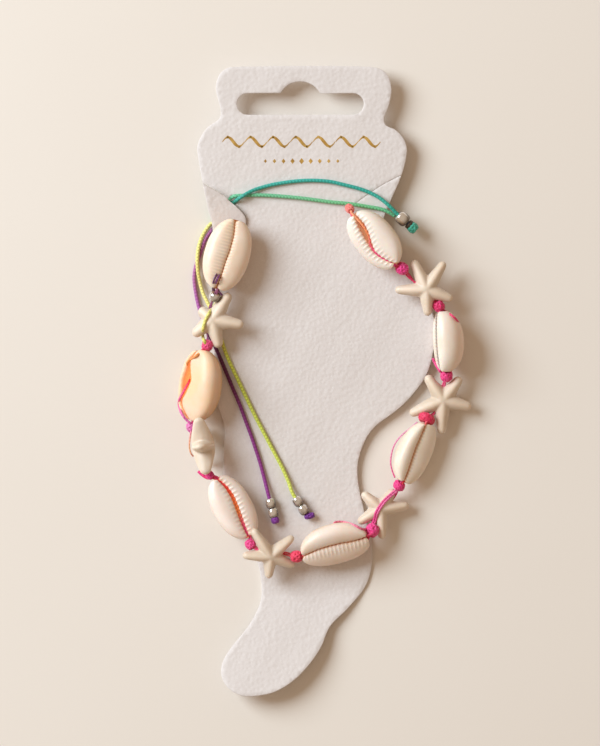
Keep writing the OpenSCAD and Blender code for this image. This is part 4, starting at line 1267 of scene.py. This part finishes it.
strand("yellow_over_spacer",
       [(217.6, 301.5, 6.4), (213.6, 306.6, 5.6), (209.1, 313.4, None), (205.1, 321.4, None),
        (203.2, 329.3, None), (202.8, 336.1, None), (204.2, 340.6, 8.2), (206.5, 345, 7.4)],
       0.42, ["#EFE58E", "#E8E07C", "#DCD668"], "yellow", [starfish[0]], 1.2)
strand("plum_beside_spacer",
       [(217.5, 288, 5.4), (219, 291.5, 5.6), (222.2, 296, 5.4), (220, 301, 5.2), (217.3, 302.5, 4.8)],
       0.25, ["#7C3C70", "#8C4C84", "#6A2A60"], "plum")
strand("purple_over_lip",
       [(221.5, 271, 6.0), (219.2, 276, None), (216.0, 283, None), (214.2, 289, None), (216.0, 294.5, 4.6)],
       0.3, ["#6A2A60", "#8C4C84", "#A8669A"], "plum", [cowries[0]])
strand("plum_over_lip",
       [(219.5, 269, 6.0), (216.6, 275, None), (213.4, 283, None), (212.6, 290, None), (214.5, 296, 4.6)],
       0.24, ["#5C2450", "#7C3C70"], "plum", [cowries[0]])
strand("orange_over_lip",
       [(206.5, 346.5, 6.5), (203.3, 350, None), (197.5, 355, None), (191.5, 359, None), (187.8, 362, None),
        (187.2, 365.5, -0.5)], 0.34, ["#F0A868", "#F0A060", "#F09850"], "orange", [cowries[1]], sink=-0.34)
strand("pink_over_lip",
       [(189.4, 379, -0.6), (188.3, 383, None), (184.0, 391, None), (179.6, 399, None), (179.0, 406, None),
        (182.0, 414, 8.0), (186.7, 420, 8.0), (191.0, 423.6, 8.0)],
       0.34, ["#E8506E", "#F06A98", "#F27AB4", "#E070B8"], "pink", [cowries[1]])
strand("orange_over_arm",
       [(191.3, 430.4, 8.0), (190.0, 438.9, 7.6), (189.5, 446.4, 7.2), (190.8, 452.8, 6.6),
        (193.5, 456.5, 6.0)], 0.22, ["#EE8AB0", "#F0A890", "#F4B890", "#F2A08C"], "orange")
strand("pink_under_star",
       [(198, 471, 5.5), (203, 475.5, 5.8), (208, 478, 6.0), (213.5, 477.6, 6.2), (218, 480, 5.6)],
       0.42, ["#EE4A8C", "#F0387C", "#E03A50"], "pink", [starfish[1], cowries[2]], 1.1)


def over_slit(k, f, rise):
    """Height over the edge of shell k's opening, at place f along it, in the shell's own frame."""
    return shell_top(k, f) - SHELL_LOOKS[k - 1]["dip"] + rise + CANAL_Z * (1 - shell_swell(f))


def in_slit(k, f, off, rise):
    """A point in shell k's slit, off its middle line."""
    s, look = SHELLS[k - 1], SHELL_LOOKS[k - 1]
    along = f * (s.length + look.get("longer", 0.0)) / 2
    return in_shell(s, (along, between(f, look["slit"]) + off, over_slit(k, f, rise)))


def at_lip(k, u, v, rise):
    """A point seen at pixel (u, v), at a height over the edge of shell k's opening."""
    s = SHELLS[k - 1]
    rel = np.array(at(u, v, 0))[:2] - shell_at(s)[:2]
    heading, roll = math.radians(s.heading), math.radians(s.roll)
    along = rel @ (math.cos(heading), math.sin(heading))
    across = rel @ (-math.sin(heading), math.cos(heading))
    z = over_slit(k, np.clip(2 * along / s.length, -0.97, 0.97), rise)
    return in_shell(s, (along, (across + z * math.sin(roll)) / math.cos(roll), z))


def lip_strand(name, k, places, r, colours, slot):
    """A strand in shell k's opening: places are (u, v, height over the opening's edge)."""
    return cord_piece(name, [([at_lip(k, *p) for p in places], r, colours, 0.9)], "cord_" + slot)


RED_TONES = ["#E83A50", "#E8402C", "#F06A2C", "#F0803C", "#F05A78", "#F04C90"]
for name, off in (("red_in_third_shell", -0.34), ("orange_in_third_shell", 0.34)):
    places = [(-0.97, 0.6 * off, 0.0), (-0.8, off, 0.15), (-0.4, off, 0.2), (0, off, 0.2), (0.4, off, 0.2),
              (0.8, off, 0.15), (0.97, 0.6 * off, 0.0)]
    cord_piece(name, [([in_slit(3, *p) for p in places], 0.42, RED_TONES, 0.9)], "cord_red")
lip_strand("red_at_fifth_shell", 5,
           [(429.5, 418, -0.3), (427, 421, 0.1), (424.2, 428, 0.1), (421.5, 435.5, -0.6)],
           0.32, ["#F05A90", "#F0604C", "#E0402C"], "red")
lip_strand("red_from_fifth_shell", 5,
           [(407, 470, -0.6), (406, 474, 0.0), (404, 481, 0.1), (402, 485, -0.2)],
           0.32, ["#E0402C", "#D83030", "#E03C50"], "red")
lip_strand("orange_in_last_shell", 7,
           [(350.5, 210.5, -0.5), (352.7, 214.6, 0.0), (361.1, 223.8, 0.1), (366.8, 232.3, 0.1),
            (369.6, 239.3, 0.0), (370.3, 245, 0.0), (374.5, 252, 0.1), (380.8, 257.6, 0.1),
            (389.3, 262.5, 0.1), (395.6, 266, 0.1)],
           0.36, ["#F4A07C", "#F29A68", "#F08A58", "#F0607C", "#EE3C84", "#F04C90"], "orange")
lip_strand("red_at_fourth_shell", 4,
           [(356, 540.5, -0.3), (360, 538.8, 0.05), (369, 535, 0.1), (374, 533, -0.1)],
           0.36, ["#A02030", "#D83040", "#F04C90"], "pink")

strand("pink_over_seventh",
       [(334, 523.5, 5.0), (337, 522, None), (345, 522.4, None), (354, 525, None), (362, 529, None),
        (366, 529, 5.4)], 0.36, ["#F07A90", "#F090A8", "#EE5A8C"], "pink", [cowries[3]])
strand("pink_over_eighth",
       [(371.4, 526, 5.0), (374.2, 519, 5.2), (376.2, 511.4, None), (382.6, 501.8, None),
        (390, 494.6, None), (396.5, 489.2, 5.2)],
       0.31, ["#F03C90", "#F4589E", "#F070A8"], "pink", [starfish[3]])
strand("rose_over_eighth",
       [(373.0, 527.0, 4.9), (375.8, 519.8, 5.1), (378.0, 512.4, None), (384.3, 502.9, None),
        (391.5, 495.8, None), (397.8, 490.3, 5.1)],
       0.31, ["#EE4A9C", "#F47AB0", "#F070A8"], "pink", [starfish[3]])
strand("pink_beside_ninth",
       [(417.5, 422, 4.4), (410, 428.5, 4.6), (402, 435, 4.8), (395.5, 443, 4.6), (392, 452, 4.2),
        (390.7, 462, 4.0), (392, 470, 4.0), (395, 478, 4.2)],
       0.20, ["#E8A0C8", "#EE98C4", "#F07AB0", "#F05A98"], "pink")
strand("pink_by_eleventh",
       [(440.5, 306, 8.0), (445, 311, None), (451, 315, None), (456, 319.5, None), (459, 324, 6.4)],
       0.30, ["#E83070", "#E84070", "#E8507C"], "red", [cowries[5]], sink=-0.15)
strand("pink_over_eleventh", [(432.5, 358, None), (435.5, 364, None), (440.5, 372, 6.0)],
       0.36, ["#F05A98", "#EE3C84"], "pink", [cowries[5]])


# Floor and light
def build_floor(half=1.5):
    look = Look("pale_floor")
    look.shader({"Base Color": look.mix(look.noise(9.0, 2.0), rgba("#E8DFD6"), rgba("#ECE4DC")),
                 "Roughness": 0.85})
    look.bump(look.noise(1800.0, 2.0), 0.25, 0.00006)
    corners = [(-half, -half, 0), (half, -half, 0), (half, half, 0), (-half, half, 0)]
    floor = put_in("floor", new_mesh("floor", corners, [(0, 1, 2, 3)]))
    floor.location.z = -0.0001
    floor.data.materials.append(look.mat)


def area_light(name, place, size, power, colour):
    data = bpy.data.lights.new(name, "AREA")
    data.shape, data.size, data.energy, data.color = "DISK", size, power, colour
    obj = put_in(name, data)
    obj.location = place
    obj.rotation_euler = (-Vector(place)).to_track_quat("-Z", "Y").to_euler()


build_floor()
area_light("key", (-0.95, 0.50, 0.80), 0.85, 22.5, (0.82, 0.93, 1.0))
world = bpy.data.worlds.new("soft_room")
bpy.context.scene.world = world
world.use_nodes = True
world.node_tree.nodes["Background"].inputs["Color"].default_value = (1.0, 0.75, 0.53, 1)
world.node_tree.nodes["Background"].inputs["Strength"].default_value = 0.42
